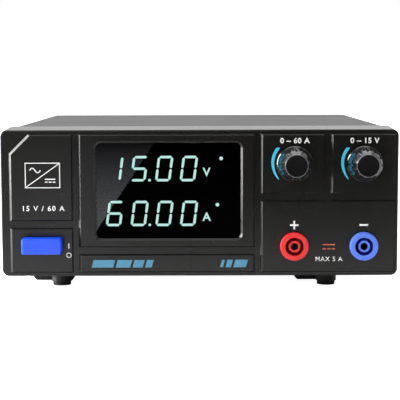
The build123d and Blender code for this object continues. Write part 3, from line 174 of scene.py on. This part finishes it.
def lettering(name, text, size, x, z, face_y, material, bold=0.0, spacing=1.0):
    """Printed characters centred at x, z on a face that looks to the front."""
    curve = bpy.data.curves.new(name, "FONT")
    curve.body = text
    curve.size = size
    curve.align_x = "CENTER"
    curve.align_y = "CENTER"
    curve.extrude = 0.035 * MM
    curve.offset = bold
    curve.space_character = spacing
    curve.resolution_u = 3
    text_object = bpy.data.objects.new(name + "_text", curve)
    bpy.context.collection.objects.link(text_object)
    bpy.context.view_layer.update()
    shown = text_object.evaluated_get(bpy.context.evaluated_depsgraph_get())
    mesh = bpy.data.meshes.new_from_object(shown)
    bpy.data.objects.remove(text_object)
    upright = Euler((pi / 2, 0, 0)).to_matrix().to_4x4()
    mesh.transform(Matrix.Translation((x, face_y - 0.025 * MM, z)) @ upright)
    mesh.materials.clear()
    mesh.materials.append(material)
    piece = bpy.data.objects.new(name, mesh)
    bpy.context.collection.objects.link(piece)
    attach(piece, "case")


def disc(x, z, radius, steps):
    """Outline of a round dot."""
    return [(x + radius * cos(2 * pi * i / steps), z + radius * sin(2 * pi * i / steps)) for i in range(steps)]


DIGIT_H = 14.2 * MM
DIGIT_W = 8.6 * MM
SEGMENT_T = 1.35 * MM
SEGMENT_GAP = 0.16 * MM
DIGIT_SLANT = tan(radians(7.6))
DIGIT_XS = [-47.2 * MM, -33.4 * MM, -19.6 * MM, -5.9 * MM]
ROW_ZS = {"volts": 69.8 * MM, "amperes": 44.8 * MM}
FIGURES = {"volts": "1500", "amperes": "6000"}
UNITS = {"volts": "V", "amperes": "A"}
SEGMENTS = {"0": "abcdef", "1": "bc", "5": "afgcd", "6": "afgedc"}
POINT_SHIFT = 5.6 * MM
POINT_RISE = 0.7 * MM
POINT_R = 0.75 * MM
UNIT_X = 3.9 * MM
UNIT_DROP = 2.2 * MM
UNIT_SIZE = 6.6 * MM
LAMP_PLACES = {"volts": (12.0 * MM, 75.4 * MM), "amperes": (9.9 * MM, 49.6 * MM)}
LAMP_R = 1.0 * MM


def segment_outline(kind, x, z):
    """Slanted six-sided bar of a seven-segment figure centred at x, z."""
    half_w = DIGIT_W / 2 - SEGMENT_T / 2
    half_h = DIGIT_H / 2 - SEGMENT_T / 2
    t = SEGMENT_T / 2
    if kind in "agd":
        level = {"a": half_h, "g": 0.0, "d": -half_h}[kind]
        a, b = -half_w + SEGMENT_GAP, half_w - SEGMENT_GAP
        points = [
            (a, level), (a + t, level + t), (b - t, level + t),
            (b, level), (b - t, level - t), (a + t, level - t),
        ]
    else:
        side = half_w if kind in "bc" else -half_w
        a, b = (SEGMENT_GAP, half_h - SEGMENT_GAP) if kind in "bf" else (-half_h + SEGMENT_GAP, -SEGMENT_GAP)
        points = [
            (side, a), (side - t, a + t), (side - t, b - t),
            (side, b), (side + t, b - t), (side + t, a + t),
        ]
    return [(x + along + up * DIGIT_SLANT, z + up) for along, up in points]


for row, figures in FIGURES.items():
    outlines = []
    for centre_x, figure in zip(DIGIT_XS, figures):
        for kind in SEGMENTS[figure]:
            outlines.append(segment_outline(kind, centre_x, ROW_ZS[row]))
    point_z = ROW_ZS[row] - DIGIT_H / 2 + POINT_RISE
    outlines.append(disc(DIGIT_XS[1] + POINT_SHIFT, point_z, POINT_R, 16))
    flat_piece("figures_" + row, outlines, DIGIT_Y, figure_glow)
for row, unit in UNITS.items():
    lettering(
        "unit_" + row, unit, UNIT_SIZE, UNIT_X, ROW_ZS[row] - UNIT_DROP, DIGIT_Y, figure_glow,
        bold=0.12 * MM,
    )
for row, (lamp_x, lamp_z) in LAMP_PLACES.items():
    flat_piece("lamp_" + row, [disc(lamp_x, lamp_z, LAMP_R, 20)], DIGIT_Y, figure_glow)


# Power button: a blue push button that slides in the panel. The latching switch that
# it works stands behind the face.

button_plastic = finish_material("button_plastic", (0.006, 0.075, 0.86), 0.3, grain=0.08, tone=0.04)
dress(button_plastic, "power_button")
switch_plastic = finish_material("switch_plastic", (0.012, 0.012, 0.0125), 0.5, grain=0.2)
dress(switch_plastic, "power_switch")


# Inside parts of the front: the control board of green laminate, and the two push
# encoders with their nuts, rotors and plated steel shafts.

board_laminate = finish_material("board_laminate", (0.016, 0.11, 0.045), 0.35, grain=0.3, grain_scale=500.0)
plated_steel = finish_material("plated_steel", (0.62, 0.62, 0.6), 0.32, grain=0.15, metal=1.0)
dress(board_laminate, "control_board", "main_board")
dress(switch_plastic, "current_encoder", "voltage_encoder", "current_rotor", "voltage_rotor")
dress(plated_steel, "encoder_nuts", "current_shaft", "voltage_shaft")


# Knobs: two knobs moulded in glossy black, wider at the skirt, with twelve grip lands, a
# coned front with ticks, and a matt cap disc in a fine ring. The light colour of the ring
# and of the ticks is partly painted highlight, standing in for the glints of the lamps.
# Each is pushed on to the shaft of its encoder.

knob_plastic = finish_material("knob_plastic", (0.005, 0.005, 0.0065), 0.2, grain=0.05, coat=0.3)
cap_plastic = finish_material("cap_plastic", (0.0022, 0.0022, 0.0026), 0.42, grain=0.1, gleam=0.2)
# Light grey of the ring and the ticks: their own finish plus painted highlight, standing in for the glints of
# the lamps.
ring_metal_painted_glint = finish_material("ring_metal_painted_glint", (0.27, 0.265, 0.26), 0.32, metal=0.35, grain=0.1)
dress(knob_plastic, "current_knob", "voltage_knob", "current_knob_cap", "voltage_knob_cap")

LANDS = 12
LAND_STEPS = 12
LAND_DEPTH = 0.55 * MM
SKIRT_R = 9.9 * MM
SKIRT_EDGE = 0.4 * MM
SKIRT_L = 2.2 * MM
GRIP_R = 9.4 * MM
MIDDLE_R = 8.7 * MM
RIM_R = 8.2 * MM
RIM_BACK = 4.2 * MM
CONE_L = 3.1 * MM
CONE_R = 7.2 * MM
RING_R = 5.95 * MM
RING_W = 0.24 * MM
RING_RISE = 0.1 * MM
CAP_MIDDLE_R = 3.0 * MM
CAP_DEPTH = 0.8 * MM
TICK_T = 0.32 * MM
TICK_LIFT = 0.07 * MM
BODY, RING, CAP = 0, 1, 2


def groove_depth(step):
    """How deep the grip is cut at this step round the knob, from 0 on a land to 1."""
    place = (step % LAND_STEPS) / LAND_STEPS
    return max(0.0, cos(2 * pi * place)) ** 3


def knob_profile(length):
    """Radius, height over the skirt's back, share of the groove, and finish of the band that follows."""
    return [
        (0.0, 0.0, 0.0, BODY),
        (SKIRT_R - SKIRT_EDGE, 0.0, 0.0, BODY),
        (SKIRT_R, SKIRT_EDGE, 0.0, BODY),
        (SKIRT_R, SKIRT_L - 0.3 * MM, 0.0, BODY),
        (SKIRT_R - 0.3 * MM, SKIRT_L, 0.0, BODY),
        (GRIP_R + 0.1 * MM, SKIRT_L + 0.1 * MM, 0.0, BODY),
        (GRIP_R, SKIRT_L + 0.8 * MM, 1.0, BODY),
        (MIDDLE_R, length * 0.5, 1.0, BODY),
        (RIM_R, length - RIM_BACK, 1.0, BODY),
        (RIM_R - 0.1 * MM, length - RIM_BACK + 0.6 * MM, 1.0, BODY),
        (RIM_R - 0.5 * MM, length - CONE_L, 0.8, BODY),
        (CONE_R, length - 1.2 * MM, 0.35, BODY),
        (RING_R + RING_W, length - 0.3 * MM, 0.0, RING),
        (RING_R + 0.16 * MM, length - RING_RISE, 0.0, RING),
        (RING_R, length - RING_RISE, 0.0, CAP),
        (RING_R - 0.1 * MM, length - 0.5 * MM, 0.0, CAP),
        (CAP_MIDDLE_R, length - 0.75 * MM, 0.0, CAP),
        (0.0, length - CAP_DEPTH, 0.0, CAP),
    ]


def knob_body(name, centre_x, centre_z, face_y, base_y):
    """Mesh of a knob with its lands, its coned front, the ring and the cap."""
    rows = knob_profile(base_y - face_y)
    count = LANDS * LAND_STEPS
    mesh = bpy.data.meshes.new(name)
    shape = bmesh.new()
    loops = []
    for radius, height, cut, finish in rows:
        y = base_y - height
        if radius == 0.0:
            loops.append([shape.verts.new((centre_x, y, centre_z))])
            continue
        loop = []
        for step in range(count):
            angle = 2 * pi * step / count
            r = radius - LAND_DEPTH * cut * groove_depth(step)
            loop.append(shape.verts.new((centre_x + r * cos(angle), y, centre_z + r * sin(angle))))
        loops.append(loop)
    for row, a, b in zip(rows, loops, loops[1:]):
        for step in range(count):
            after = (step + 1) % count
            if len(a) == 1:
                face = shape.faces.new((a[0], b[after], b[step]))
            elif len(b) == 1:
                face = shape.faces.new((a[step], a[after], b[0]))
            else:
                face = shape.faces.new((a[step], a[after], b[after], b[step]))
            face.smooth = True
            face.material_index = row[3]
    bmesh.ops.recalc_face_normals(shape, faces=shape.faces)
    shape.to_mesh(mesh)
    shape.free()
    for material in (knob_plastic, ring_metal_painted_glint, cap_plastic):
        mesh.materials.append(material)
    mesh.set_sharp_from_angle(angle=radians(38))
    return mesh


def knob_glint_ticks(name, centre_x, centre_z, face_y):
    """Mesh of the thin bars on the cone, one on each land; their light colour is partly painted highlight."""
    mesh = bpy.data.meshes.new(name)
    shape = bmesh.new()
    half = TICK_T / 2
    centre = Vector((centre_x, 0, centre_z))
    for land in range(LANDS):
        angle = 2 * pi * (land + 0.5) / LANDS
        out = Vector((cos(angle), 0, sin(angle)))
        side = Vector((-sin(angle), 0, cos(angle)))
        near = centre + out * (RING_R + 0.4 * MM) + Vector((0, face_y + 0.36 * MM, 0))
        far = centre + out * (RIM_R - 0.55 * MM) + Vector((0, face_y + 3.02 * MM, 0))
        lift = (out + Vector((0, -1, 0))) * TICK_LIFT
        corners = [near - side * half, near + side * half, far + side * half, far - side * half]
        low = [shape.verts.new(c - lift) for c in corners]
        high = [shape.verts.new(c + lift) for c in corners]
        shape.faces.new(low)
        shape.faces.new(list(reversed(high)))
        for i in range(4):
            j = (i + 1) % 4
            shape.faces.new((low[j], low[i], high[i], high[j]))
    bmesh.ops.recalc_face_normals(shape, faces=shape.faces)
    shape.to_mesh(mesh)
    shape.free()
    mesh.materials.append(ring_metal_painted_glint)
    return mesh


KNOB_XS = {}
for side in ("current", "voltage"):
    knob = side + "_knob"
    low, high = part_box(knob)
    KNOB_XS[side] = (low[0] + high[0]) / 2
    KNOB_Z = (low[2] + high[2]) / 2
    body_mesh = knob_body(knob + "_body", KNOB_XS[side], KNOB_Z, low[1], high[1])
    body_piece = bpy.data.objects.new(knob + "_body", body_mesh)
    bpy.context.collection.objects.link(body_piece)
    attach(body_piece, knob)
    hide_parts(knob, knob + "_cap")
    tick_mesh = knob_glint_ticks(knob + "_body_glint_ticks", KNOB_XS[side], KNOB_Z, low[1])
    tick_piece = bpy.data.objects.new(knob + "_body_glint_ticks", tick_mesh)
    bpy.context.collection.objects.link(tick_piece)
    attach(tick_piece, knob)


# Front sockets: safety sockets for 4 mm plugs, red and blue, with a ring-shaped well round
# an insulated sleeve and a nickel-plated contact inside it. Nuts hold them from behind.

red_plastic = finish_material("red_plastic", (0.83, 0.022, 0.024), 0.28, grain=0.06, tone=0.05)
blue_plastic = finish_material("blue_plastic", (0.1, 0.21, 0.88), 0.28, grain=0.06, tone=0.05)
contact_metal = finish_material("contact_metal", (0.3, 0.27, 0.22), 0.4, metal=1.0, grain=0.1)
dress(red_plastic, "positive_jack")
dress(blue_plastic, "negative_jack")
dress(contact_metal, "positive_contact", "negative_contact")
dress(switch_plastic, "jack_nuts")
lead_rubber = finish_material("lead_rubber", (0.02, 0.02, 0.02), 0.5, grain=0.2)
dress(lead_rubber, "socket_leads")


# Print on the panel: screened ink in white, two blues and orange on the pads. The arcs
# beside the knobs thin out towards their lower ends. The other marks are plain scales,
# ratings and stripes.

ink_white = finish_material("ink_white", (0.86, 0.86, 0.85), 0.5, grain=0.1, tone=0.02)
ink_cyan = finish_material("ink_cyan", (0.045, 0.62, 0.86), 0.45, grain=0.1, tone=0.04)
ink_pale_blue = finish_material("ink_pale_blue", (0.08, 0.3, 0.46), 0.45, grain=0.1, tone=0.05)
ink_orange = finish_material("ink_orange", (0.62, 0.12, 0.05), 0.45, grain=0.1, tone=0.05)


def bar(x0, x1, z0, z1, slant=0.0):
    """Outline of a bar, its upper edge moved right by slant."""
    return [(x0, z0), (x1, z0), (x1 + slant, z1), (x0 + slant, z1)]


def stroke(x0, z0, x1, z1, width):
    """Outline of a straight printed line from one point to another."""
    run = Vector((x1 - x0, z1 - z0)).normalized() * width / 2
    return [
        (x0 - run.y, z0 + run.x), (x1 - run.y, z1 + run.x),
        (x1 + run.y, z1 - run.x), (x0 + run.y, z0 - run.x),
    ]


def dashes(x, pitch, length, z0, z1):
    """Outlines of three dashes in a row from x on."""
    return [bar(x + i * pitch, x + i * pitch + length, z0, z1) for i in range(3)]


ARC_R = 13.1 * MM
ARC_SHIFT_X = 0.3 * MM
ARC_SHIFT_Z = 0.7 * MM
ARC_START = 141.0
ARC_END = 226.0
ARC_W = 1.75 * MM
ARC_STEPS = 28
for side, centre_x in KNOB_XS.items():
    outer = []
    inner = []
    mid_x = centre_x + ARC_SHIFT_X
    mid_z = KNOB_Z + ARC_SHIFT_Z
    for i in range(ARC_STEPS + 1):
        share = i / ARC_STEPS
        angle = radians(ARC_START + (ARC_END - ARC_START) * share)
        inner_r = ARC_R - ARC_W + (0.2 * share + 1.2 * share ** 4) * MM
        outer.append((mid_x + ARC_R * cos(angle), mid_z + ARC_R * sin(angle)))
        inner.append((mid_x + inner_r * cos(angle), mid_z + inner_r * sin(angle)))
    inner[0] = (inner[0][0] + 0.5 * MM, outer[0][1])
    flat_piece(side + "_arc", [outer + list(reversed(inner))], PANEL_FACE_Y, ink_cyan)

jack_low, jack_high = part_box("positive_jack")
SIGN_Z = (jack_low[2] + jack_high[2]) / 2 + 11.7 * MM
SIGN_HALF = 2.35 * MM
SIGN_T = 0.48 * MM
plus_x = KNOB_XS["current"]
minus_x = KNOB_XS["voltage"]
sign_bars = [
    bar(plus_x - SIGN_HALF, plus_x - SIGN_T, SIGN_Z - SIGN_T, SIGN_Z + SIGN_T),
    bar(plus_x + SIGN_T, plus_x + SIGN_HALF, SIGN_Z - SIGN_T, SIGN_Z + SIGN_T),
    bar(plus_x - SIGN_T, plus_x + SIGN_T, SIGN_Z - SIGN_HALF, SIGN_Z + SIGN_HALF),
    bar(minus_x - SIGN_HALF, minus_x + SIGN_HALF, SIGN_Z - SIGN_T, SIGN_Z + SIGN_T),
]
flat_piece("socket_signs", sign_bars, PANEL_FACE_Y, ink_white)

SCALE_WORDS = {"current": "0 – 60 A", "voltage": "0 – 15 V"}
SCALE_SIZE = 4.1 * MM
SCALE_SHIFT = 0.1 * MM
SCALE_Z = 85.2 * MM
for side, words in SCALE_WORDS.items():
    lettering(
        side + "_scale", words, SCALE_SIZE, KNOB_XS[side] + SCALE_SHIFT, SCALE_Z, PANEL_FACE_Y, ink_white,
        bold=0.13 * MM, spacing=1.12,
    )

LABEL_X = -86.7 * MM
LABEL_Z = 66.5 * MM
BOX_W = 19.0 * MM
BOX_H = 13.6 * MM
LINE_T = 0.45 * MM
DC_INSET = 8.2 * MM
DC_W = 5.8 * MM
DC_T = 0.6 * MM
DC_LINE_RISE = 4.4 * MM
DC_DASH_RISE = 2.8 * MM
DC_PITCH = 2.15 * MM
DC_DASH = 1.5 * MM
WAVE_STEPS = 16
WAVE_W = 6.0 * MM
WAVE_H = 1.3 * MM
WAVE_T = 0.6 * MM
WAVE_INSET = 2.4 * MM
WAVE_DROP = 4.0 * MM
half_t = LINE_T / 2
left, right = LABEL_X - BOX_W / 2, LABEL_X + BOX_W / 2
low_z, high_z = LABEL_Z - BOX_H / 2, LABEL_Z + BOX_H / 2
dc_x = right - DC_INSET
symbol = [
    bar(left - half_t, right + half_t, low_z - half_t, low_z + half_t),
    bar(left - half_t, right + half_t, high_z - half_t, high_z + half_t),
    bar(left - half_t, left + half_t, low_z + half_t, high_z - half_t),
    bar(right - half_t, right + half_t, low_z + half_t, high_z - half_t),
    stroke(left + half_t, low_z + half_t, right - half_t, high_z - half_t, LINE_T),
    bar(dc_x, dc_x + DC_W, low_z + DC_LINE_RISE, low_z + DC_LINE_RISE + DC_T),
]
symbol += dashes(dc_x, DC_PITCH, DC_DASH, low_z + DC_DASH_RISE, low_z + DC_DASH_RISE + DC_T)
wave = []
for i in range(WAVE_STEPS + 1):
    share = i / WAVE_STEPS
    wave.append((left + WAVE_INSET + share * WAVE_W, high_z - WAVE_DROP + WAVE_H * sin(2 * pi * share)))
for (x0, z0), (x1, z1) in zip(wave, wave[1:]):
    symbol.append(stroke(x0, z0, x1, z1, WAVE_T))
flat_piece("converter_symbol", symbol, PANEL_FACE_Y, ink_white)

RATING_SIZE = 4.0 * MM
RATING_Z = 48.0 * MM
lettering(
    "rating_line", "15 V / 60 A", RATING_SIZE, LABEL_X, RATING_Z, PANEL_FACE_Y, ink_white,
    bold=0.05 * MM, spacing=1.25,
)

STRIPE_LEFT = -60.2 * MM
STRIPE_LOW = 15.0 * MM
STRIPE_HIGH = 19.2 * MM
STRIPE_SLANT = 1.2 * MM
STRIPE_ENDS = [(0.0, 12.0), (13.4, 21.4), (22.8, 28.4), (29.8, 33.4), (71.4, 73.0), (74.4, 77.4), (78.8, 85.8)]
stripes = []
for start, end in STRIPE_ENDS:
    stripes.append(bar(STRIPE_LEFT + start * MM, STRIPE_LEFT + end * MM, STRIPE_LOW, STRIPE_HIGH, STRIPE_SLANT))
flat_piece("blue_stripes", stripes, PANEL_FACE_Y, ink_pale_blue)

OUTPUT_X = (plus_x + minus_x) / 2
OUTPUT_HALF = 3.4 * MM
OUTPUT_LINE_Z = 27.2 * MM
OUTPUT_DASH_Z = 24.9 * MM
OUTPUT_T = 0.7 * MM
dc_sign = [bar(OUTPUT_X - OUTPUT_HALF, OUTPUT_X + OUTPUT_HALF, OUTPUT_LINE_Z, OUTPUT_LINE_Z + OUTPUT_T)]
dc_sign += dashes(OUTPUT_X - OUTPUT_HALF, 2.5 * MM, 1.8 * MM, OUTPUT_DASH_Z, OUTPUT_DASH_Z + OUTPUT_T)
flat_piece("direct_current_sign", dc_sign, PANEL_FACE_Y, ink_orange)
SOCKET_RATING_SIZE = 3.5 * MM
SOCKET_RATING_Z = 19.4 * MM
lettering(
    "socket_rating", "MAX 5 A", SOCKET_RATING_SIZE, OUTPUT_X, SOCKET_RATING_Z, PANEL_FACE_Y, ink_white,
    bold=0.05 * MM, spacing=1.15,
)

MARK_X = -72.7 * MM
MARK_SIZE = 4.0 * MM
ON_Z = 27.0 * MM
OFF_Z = 22.0 * MM
OFF_R = 1.25 * MM
OFF_T = 0.42 * MM
lettering("switch_on", "I", MARK_SIZE, MARK_X, ON_Z, PANEL_FACE_Y, ink_white, bold=0.08 * MM)
corners = disc(MARK_X, OFF_Z, OFF_R, 16)
off_ring = [stroke(x0, z0, x1, z1, OFF_T) for (x0, z0), (x1, z1) in zip(corners, corners[1:] + corners[:1])]
flat_piece("switch_off", off_ring, PANEL_FACE_Y, ink_white)


# Case: the cover and the rear panel are steel sheet in dark textured paint, the chassis
# and the brace are zinc-coated sheet. Black and plated screws hold them together.

DARK_PAINT = (0.024, 0.0225, 0.024)
case_paint = finish_material("case_paint", DARK_PAINT, 0.5, grain=0.45, grain_scale=1100.0, gleam=0.3)
zinc_sheet = finish_material("zinc_sheet", (0.5, 0.51, 0.52), 0.42, metal=1.0, grain=0.3, grain_scale=300.0)
screw_black = finish_material("screw_black", (0.03, 0.03, 0.03), 0.35, metal=0.6, grain=0.2)
dress(case_paint, "top_cover", "rear_panel")
dress(zinc_sheet, "bottom_chassis", "front_brace")
dress(screw_black, "cover_screws", "rear_screws")
dress(plated_steel, "bezel_screws", "foot_screws", "board_screws", "board_standoffs")


# Feet: moulded tilt feet with rubber pads in front, each with a leg that folds out on
# a steel pin, and plain rubber feet behind.

foot_plastic = finish_material("foot_plastic", (0.010, 0.010, 0.010), 0.5, grain=0.3)
foot_rubber = finish_material("foot_rubber", (0.012, 0.012, 0.012), 0.75, grain=0.4)
dress(foot_plastic, "left_foot", "right_foot", "left_tilt_leg", "right_tilt_leg")
dress(foot_rubber, "front_foot_pads", "rear_feet")
dress(plated_steel, "leg_pins")


# Rear: a black fan behind a chromed wire guard, the mains inlet with its pins, and the
# two output studs in red and black insulators.

fan_plastic = finish_material("fan_plastic", (0.016, 0.016, 0.017), 0.42, grain=0.2)
guard_chrome = finish_material("guard_chrome", (0.72, 0.72, 0.73), 0.16, metal=1.0, grain=0.05)
dress(fan_plastic, "fan_housing", "fan_rotor")
dress(guard_chrome, "fan_guard")
dress(plated_steel, "fan_screws", "stud_nuts")
dress(switch_plastic, "mains_inlet", "negative_insulator")
dress(red_plastic, "positive_insulator")
dress(contact_metal, "inlet_pins", "output_studs")


# Inside the case: copper busbars, the ferrite transformer with its taped winding, the
# choke, capacitors in dark sleeves, and power transistors on bare aluminium heatsinks.

copper = finish_material("copper", (0.75, 0.33, 0.18), 0.3, metal=1.0, grain=0.2)
ferrite = finish_material("ferrite", (0.05, 0.05, 0.055), 0.6, grain=0.4)
coil_tape = finish_material("coil_tape", (0.7, 0.52, 0.08), 0.35, grain=0.1)
coil_wire = finish_material("coil_wire", (0.5, 0.17, 0.05), 0.3, metal=0.8, grain=0.3)
can_sleeve = finish_material("can_sleeve", (0.02, 0.03, 0.08), 0.3, grain=0.1)
bare_aluminium = finish_material("bare_aluminium", (0.7, 0.71, 0.72), 0.35, metal=1.0, grain=0.2)
dress(copper, "busbars")
dress(ferrite, "transformer_core")
dress(coil_tape, "transformer_winding")
dress(coil_wire, "output_choke")
dress(can_sleeve, "primary_capacitors", "output_capacitors")
dress(bare_aluminium, "heatsinks")
dress(switch_plastic, "power_transistors")


# Studio: a white floor that keeps the shadow, a surround that is bright behind the
# object and dim in front of it, soft boxes round it, and two cards for the window to
# reflect. None of this is part of the object.

FLOOR_HALF = 3.0
floor_mesh = bpy.data.meshes.new("floor")
floor_corners = [(-FLOOR_HALF, -FLOOR_HALF, 0), (FLOOR_HALF, -FLOOR_HALF, 0)]
floor_corners += [(FLOOR_HALF, FLOOR_HALF, 0), (-FLOOR_HALF, FLOOR_HALF, 0)]
floor_mesh.from_pydata(floor_corners, [], [(0, 1, 2, 3)])
floor = bpy.data.objects.new("floor", floor_mesh)
bpy.context.collection.objects.link(floor)
floor_material = bpy.data.materials.new("floor_white")
floor_material.use_nodes = True
floor_tree = floor_material.node_tree
floor_shader = floor_tree.nodes["Principled BSDF"]
floor_shader.inputs["Base Color"].default_value = (0.85, 0.85, 0.85, 1.0)
floor_shader.inputs["Roughness"].default_value = 0.8
floor_glow = floor_tree.nodes.new("ShaderNodeEmission")
floor_glow.inputs["Strength"].default_value = 0.98
floor_path = floor_tree.nodes.new("ShaderNodeLightPath")
floor_sum = floor_tree.nodes.new("ShaderNodeAddShader")
floor_mix = floor_tree.nodes.new("ShaderNodeMixShader")
floor_tree.links.new(floor_shader.outputs["BSDF"], floor_sum.inputs[0])
floor_tree.links.new(floor_glow.outputs["Emission"], floor_sum.inputs[1])
floor_tree.links.new(floor_path.outputs["Is Camera Ray"], floor_mix.inputs["Fac"])
floor_tree.links.new(floor_shader.outputs["BSDF"], floor_mix.inputs[1])
floor_tree.links.new(floor_sum.outputs["Shader"], floor_mix.inputs[2])
floor_tree.links.new(floor_mix.outputs["Shader"], floor_tree.nodes["Material Output"].inputs["Surface"])
floor_mesh.materials.append(floor_material)

world = bpy.data.worlds.new("studio")
bpy.context.scene.world = world
world.use_nodes = True
world_tree = world.node_tree
world_tree.nodes.clear()
world_path = world_tree.nodes.new("ShaderNodeLightPath")
world_light = world_tree.nodes.new("ShaderNodeBackground")
world_light.inputs["Strength"].default_value = 1.0
world_place = world_tree.nodes.new("ShaderNodeTexCoord")
world_parts = world_tree.nodes.new("ShaderNodeSeparateXYZ")
world_fade = world_tree.nodes.new("ShaderNodeMapRange")
world_fade.inputs["From Min"].default_value = -0.4
world_fade.inputs["From Max"].default_value = 0.8
world_fade.inputs["To Min"].default_value = 0.1
world_fade.inputs["To Max"].default_value = 1.2
world_shown = world_tree.nodes.new("ShaderNodeBackground")
world_shown.inputs["Color"].default_value = (1.0, 1.0, 1.0, 1.0)
world_shown.inputs["Strength"].default_value = 1.0
world_mix = world_tree.nodes.new("ShaderNodeMixShader")
world_out = world_tree.nodes.new("ShaderNodeOutputWorld")
world_tree.links.new(world_place.outputs["Generated"], world_parts.inputs["Vector"])
world_tree.links.new(world_parts.outputs["Y"], world_fade.inputs["Value"])
world_tree.links.new(world_fade.outputs["Result"], world_light.inputs["Color"])
world_tree.links.new(world_path.outputs["Is Camera Ray"], world_mix.inputs["Fac"])
world_tree.links.new(world_light.outputs["Background"], world_mix.inputs[1])
world_tree.links.new(world_shown.outputs["Background"], world_mix.inputs[2])
world_tree.links.new(world_mix.outputs["Shader"], world_out.inputs["Surface"])


def soft_box(name, place, target, width, height, power):
    """Rectangular lamp at place that faces target."""
    lamp = bpy.data.lights.new(name, "AREA")
    lamp.shape = "RECTANGLE"
    lamp.size = width
    lamp.size_y = height
    lamp.energy = power
    lamp_object = bpy.data.objects.new(name, lamp)
    lamp_object.location = place
    aim = Vector(target) - Vector(place)
    lamp_object.rotation_euler = aim.to_track_quat("-Z", "Y").to_euler()
    bpy.context.collection.objects.link(lamp_object)


soft_box("left_box", (-1.0, -0.12, 0.34), (0.0, -0.12, 0.06), 0.42, 0.8, 36.0)
soft_box("front_box", (-0.5, -1.5, 0.9), (0, -0.1, 0.05), 0.9, 0.7, 6.5)
soft_box("right_box", (1.1, -0.5, 0.5), (0, -0.1, 0.05), 0.4, 0.6, 2.5)
soft_box("top_box", (0.0, 0.25, 1.6), (0, 0.1, 0), 1.4, 1.4, 14.0)

CARD_Y = PANEL_FACE_Y - 200 * MM
CARD_STEP = 1 * MM
CARD_FADE_TOP = 74 * MM
CARD_FADE_FOOT = 18 * MM
BLACK_CARD = [(-170, 1), (170, 1), (170, 135), (-170, 135)]
BRIGHT_CARD = [(-31.0, 76.0), (-31.5, 74.5), (-78.0, 4.5), (-130.0, 4.5), (-130.0, 76.0)]


def glare_card(name, points, y, strength):
    """Card in front of the object that only reflections see, upright at y, fading towards its top."""
    mesh = bpy.data.meshes.new(name)
    mesh.from_pydata([(x * MM, y, z * MM) for x, z in points], [], [tuple(range(len(points)))])
    card = bpy.data.objects.new(name, mesh)
    bpy.context.collection.objects.link(card)
    card.visible_camera = False
    card.visible_diffuse = False
    card.visible_shadow = False
    material = bpy.data.materials.new(name)
    material.use_nodes = True
    tree = material.node_tree
    tree.nodes.remove(tree.nodes["Principled BSDF"])
    glow = tree.nodes.new("ShaderNodeEmission")
    glow.inputs["Color"].default_value = (0.92, 0.94, 1.0, 1.0)
    place = tree.nodes.new("ShaderNodeTexCoord")
    parts = tree.nodes.new("ShaderNodeSeparateXYZ")
    fade = tree.nodes.new("ShaderNodeMapRange")
    fade.inputs["From Min"].default_value = CARD_FADE_TOP
    fade.inputs["From Max"].default_value = CARD_FADE_FOOT
    fade.inputs["To Min"].default_value = strength * 0.04
    fade.inputs["To Max"].default_value = strength
    tree.links.new(place.outputs["Object"], parts.inputs["Vector"])
    tree.links.new(parts.outputs["Z"], fade.inputs["Value"])
    tree.links.new(fade.outputs["Result"], glow.inputs["Strength"])
    tree.links.new(glow.outputs["Emission"], tree.nodes["Material Output"].inputs["Surface"])
    mesh.materials.append(material)


glare_card("black_card", BLACK_CARD, CARD_Y, 0.02)
glare_card("bright_card", BRIGHT_CARD, CARD_Y + CARD_STEP, 1.6)

bpy.context.scene.view_settings.view_transform = "Standard"


# Camera: straight in front of the panel and a little above the top of the case,
# looking slightly down.

GROOVE_DEPTH = 1.15 * MM
CAMERA_DISTANCE = 672.6 * MM
CAMERA_X = 0.8 * MM
CAMERA_Z = 122.4 * MM
CAMERA_PITCH = radians(5.93)
CAMERA_YAW = radians(0.05)
CAMERA_ROLL = radians(-0.17)
SENSOR_W = 36.0
FOCAL_PIXELS = 1220.9
IMAGE_W = 400
camera_data = bpy.data.cameras.new("camera")
camera_data.sensor_width = SENSOR_W
camera_data.lens = SENSOR_W * FOCAL_PIXELS / IMAGE_W
camera_data.clip_end = 20.0
camera = bpy.data.objects.new("camera", camera_data)
camera.location = (CAMERA_X, PANEL_FACE_Y + GROOVE_DEPTH - CAMERA_DISTANCE, CAMERA_Z)
camera.rotation_euler = (
    Matrix.Rotation(CAMERA_YAW, 3, "Z")
    @ Matrix.Rotation(pi / 2 - CAMERA_PITCH, 3, "X")
    @ Matrix.Rotation(CAMERA_ROLL, 3, "Z")
).to_euler()
bpy.context.collection.objects.link(camera)
bpy.context.scene.camera = camera
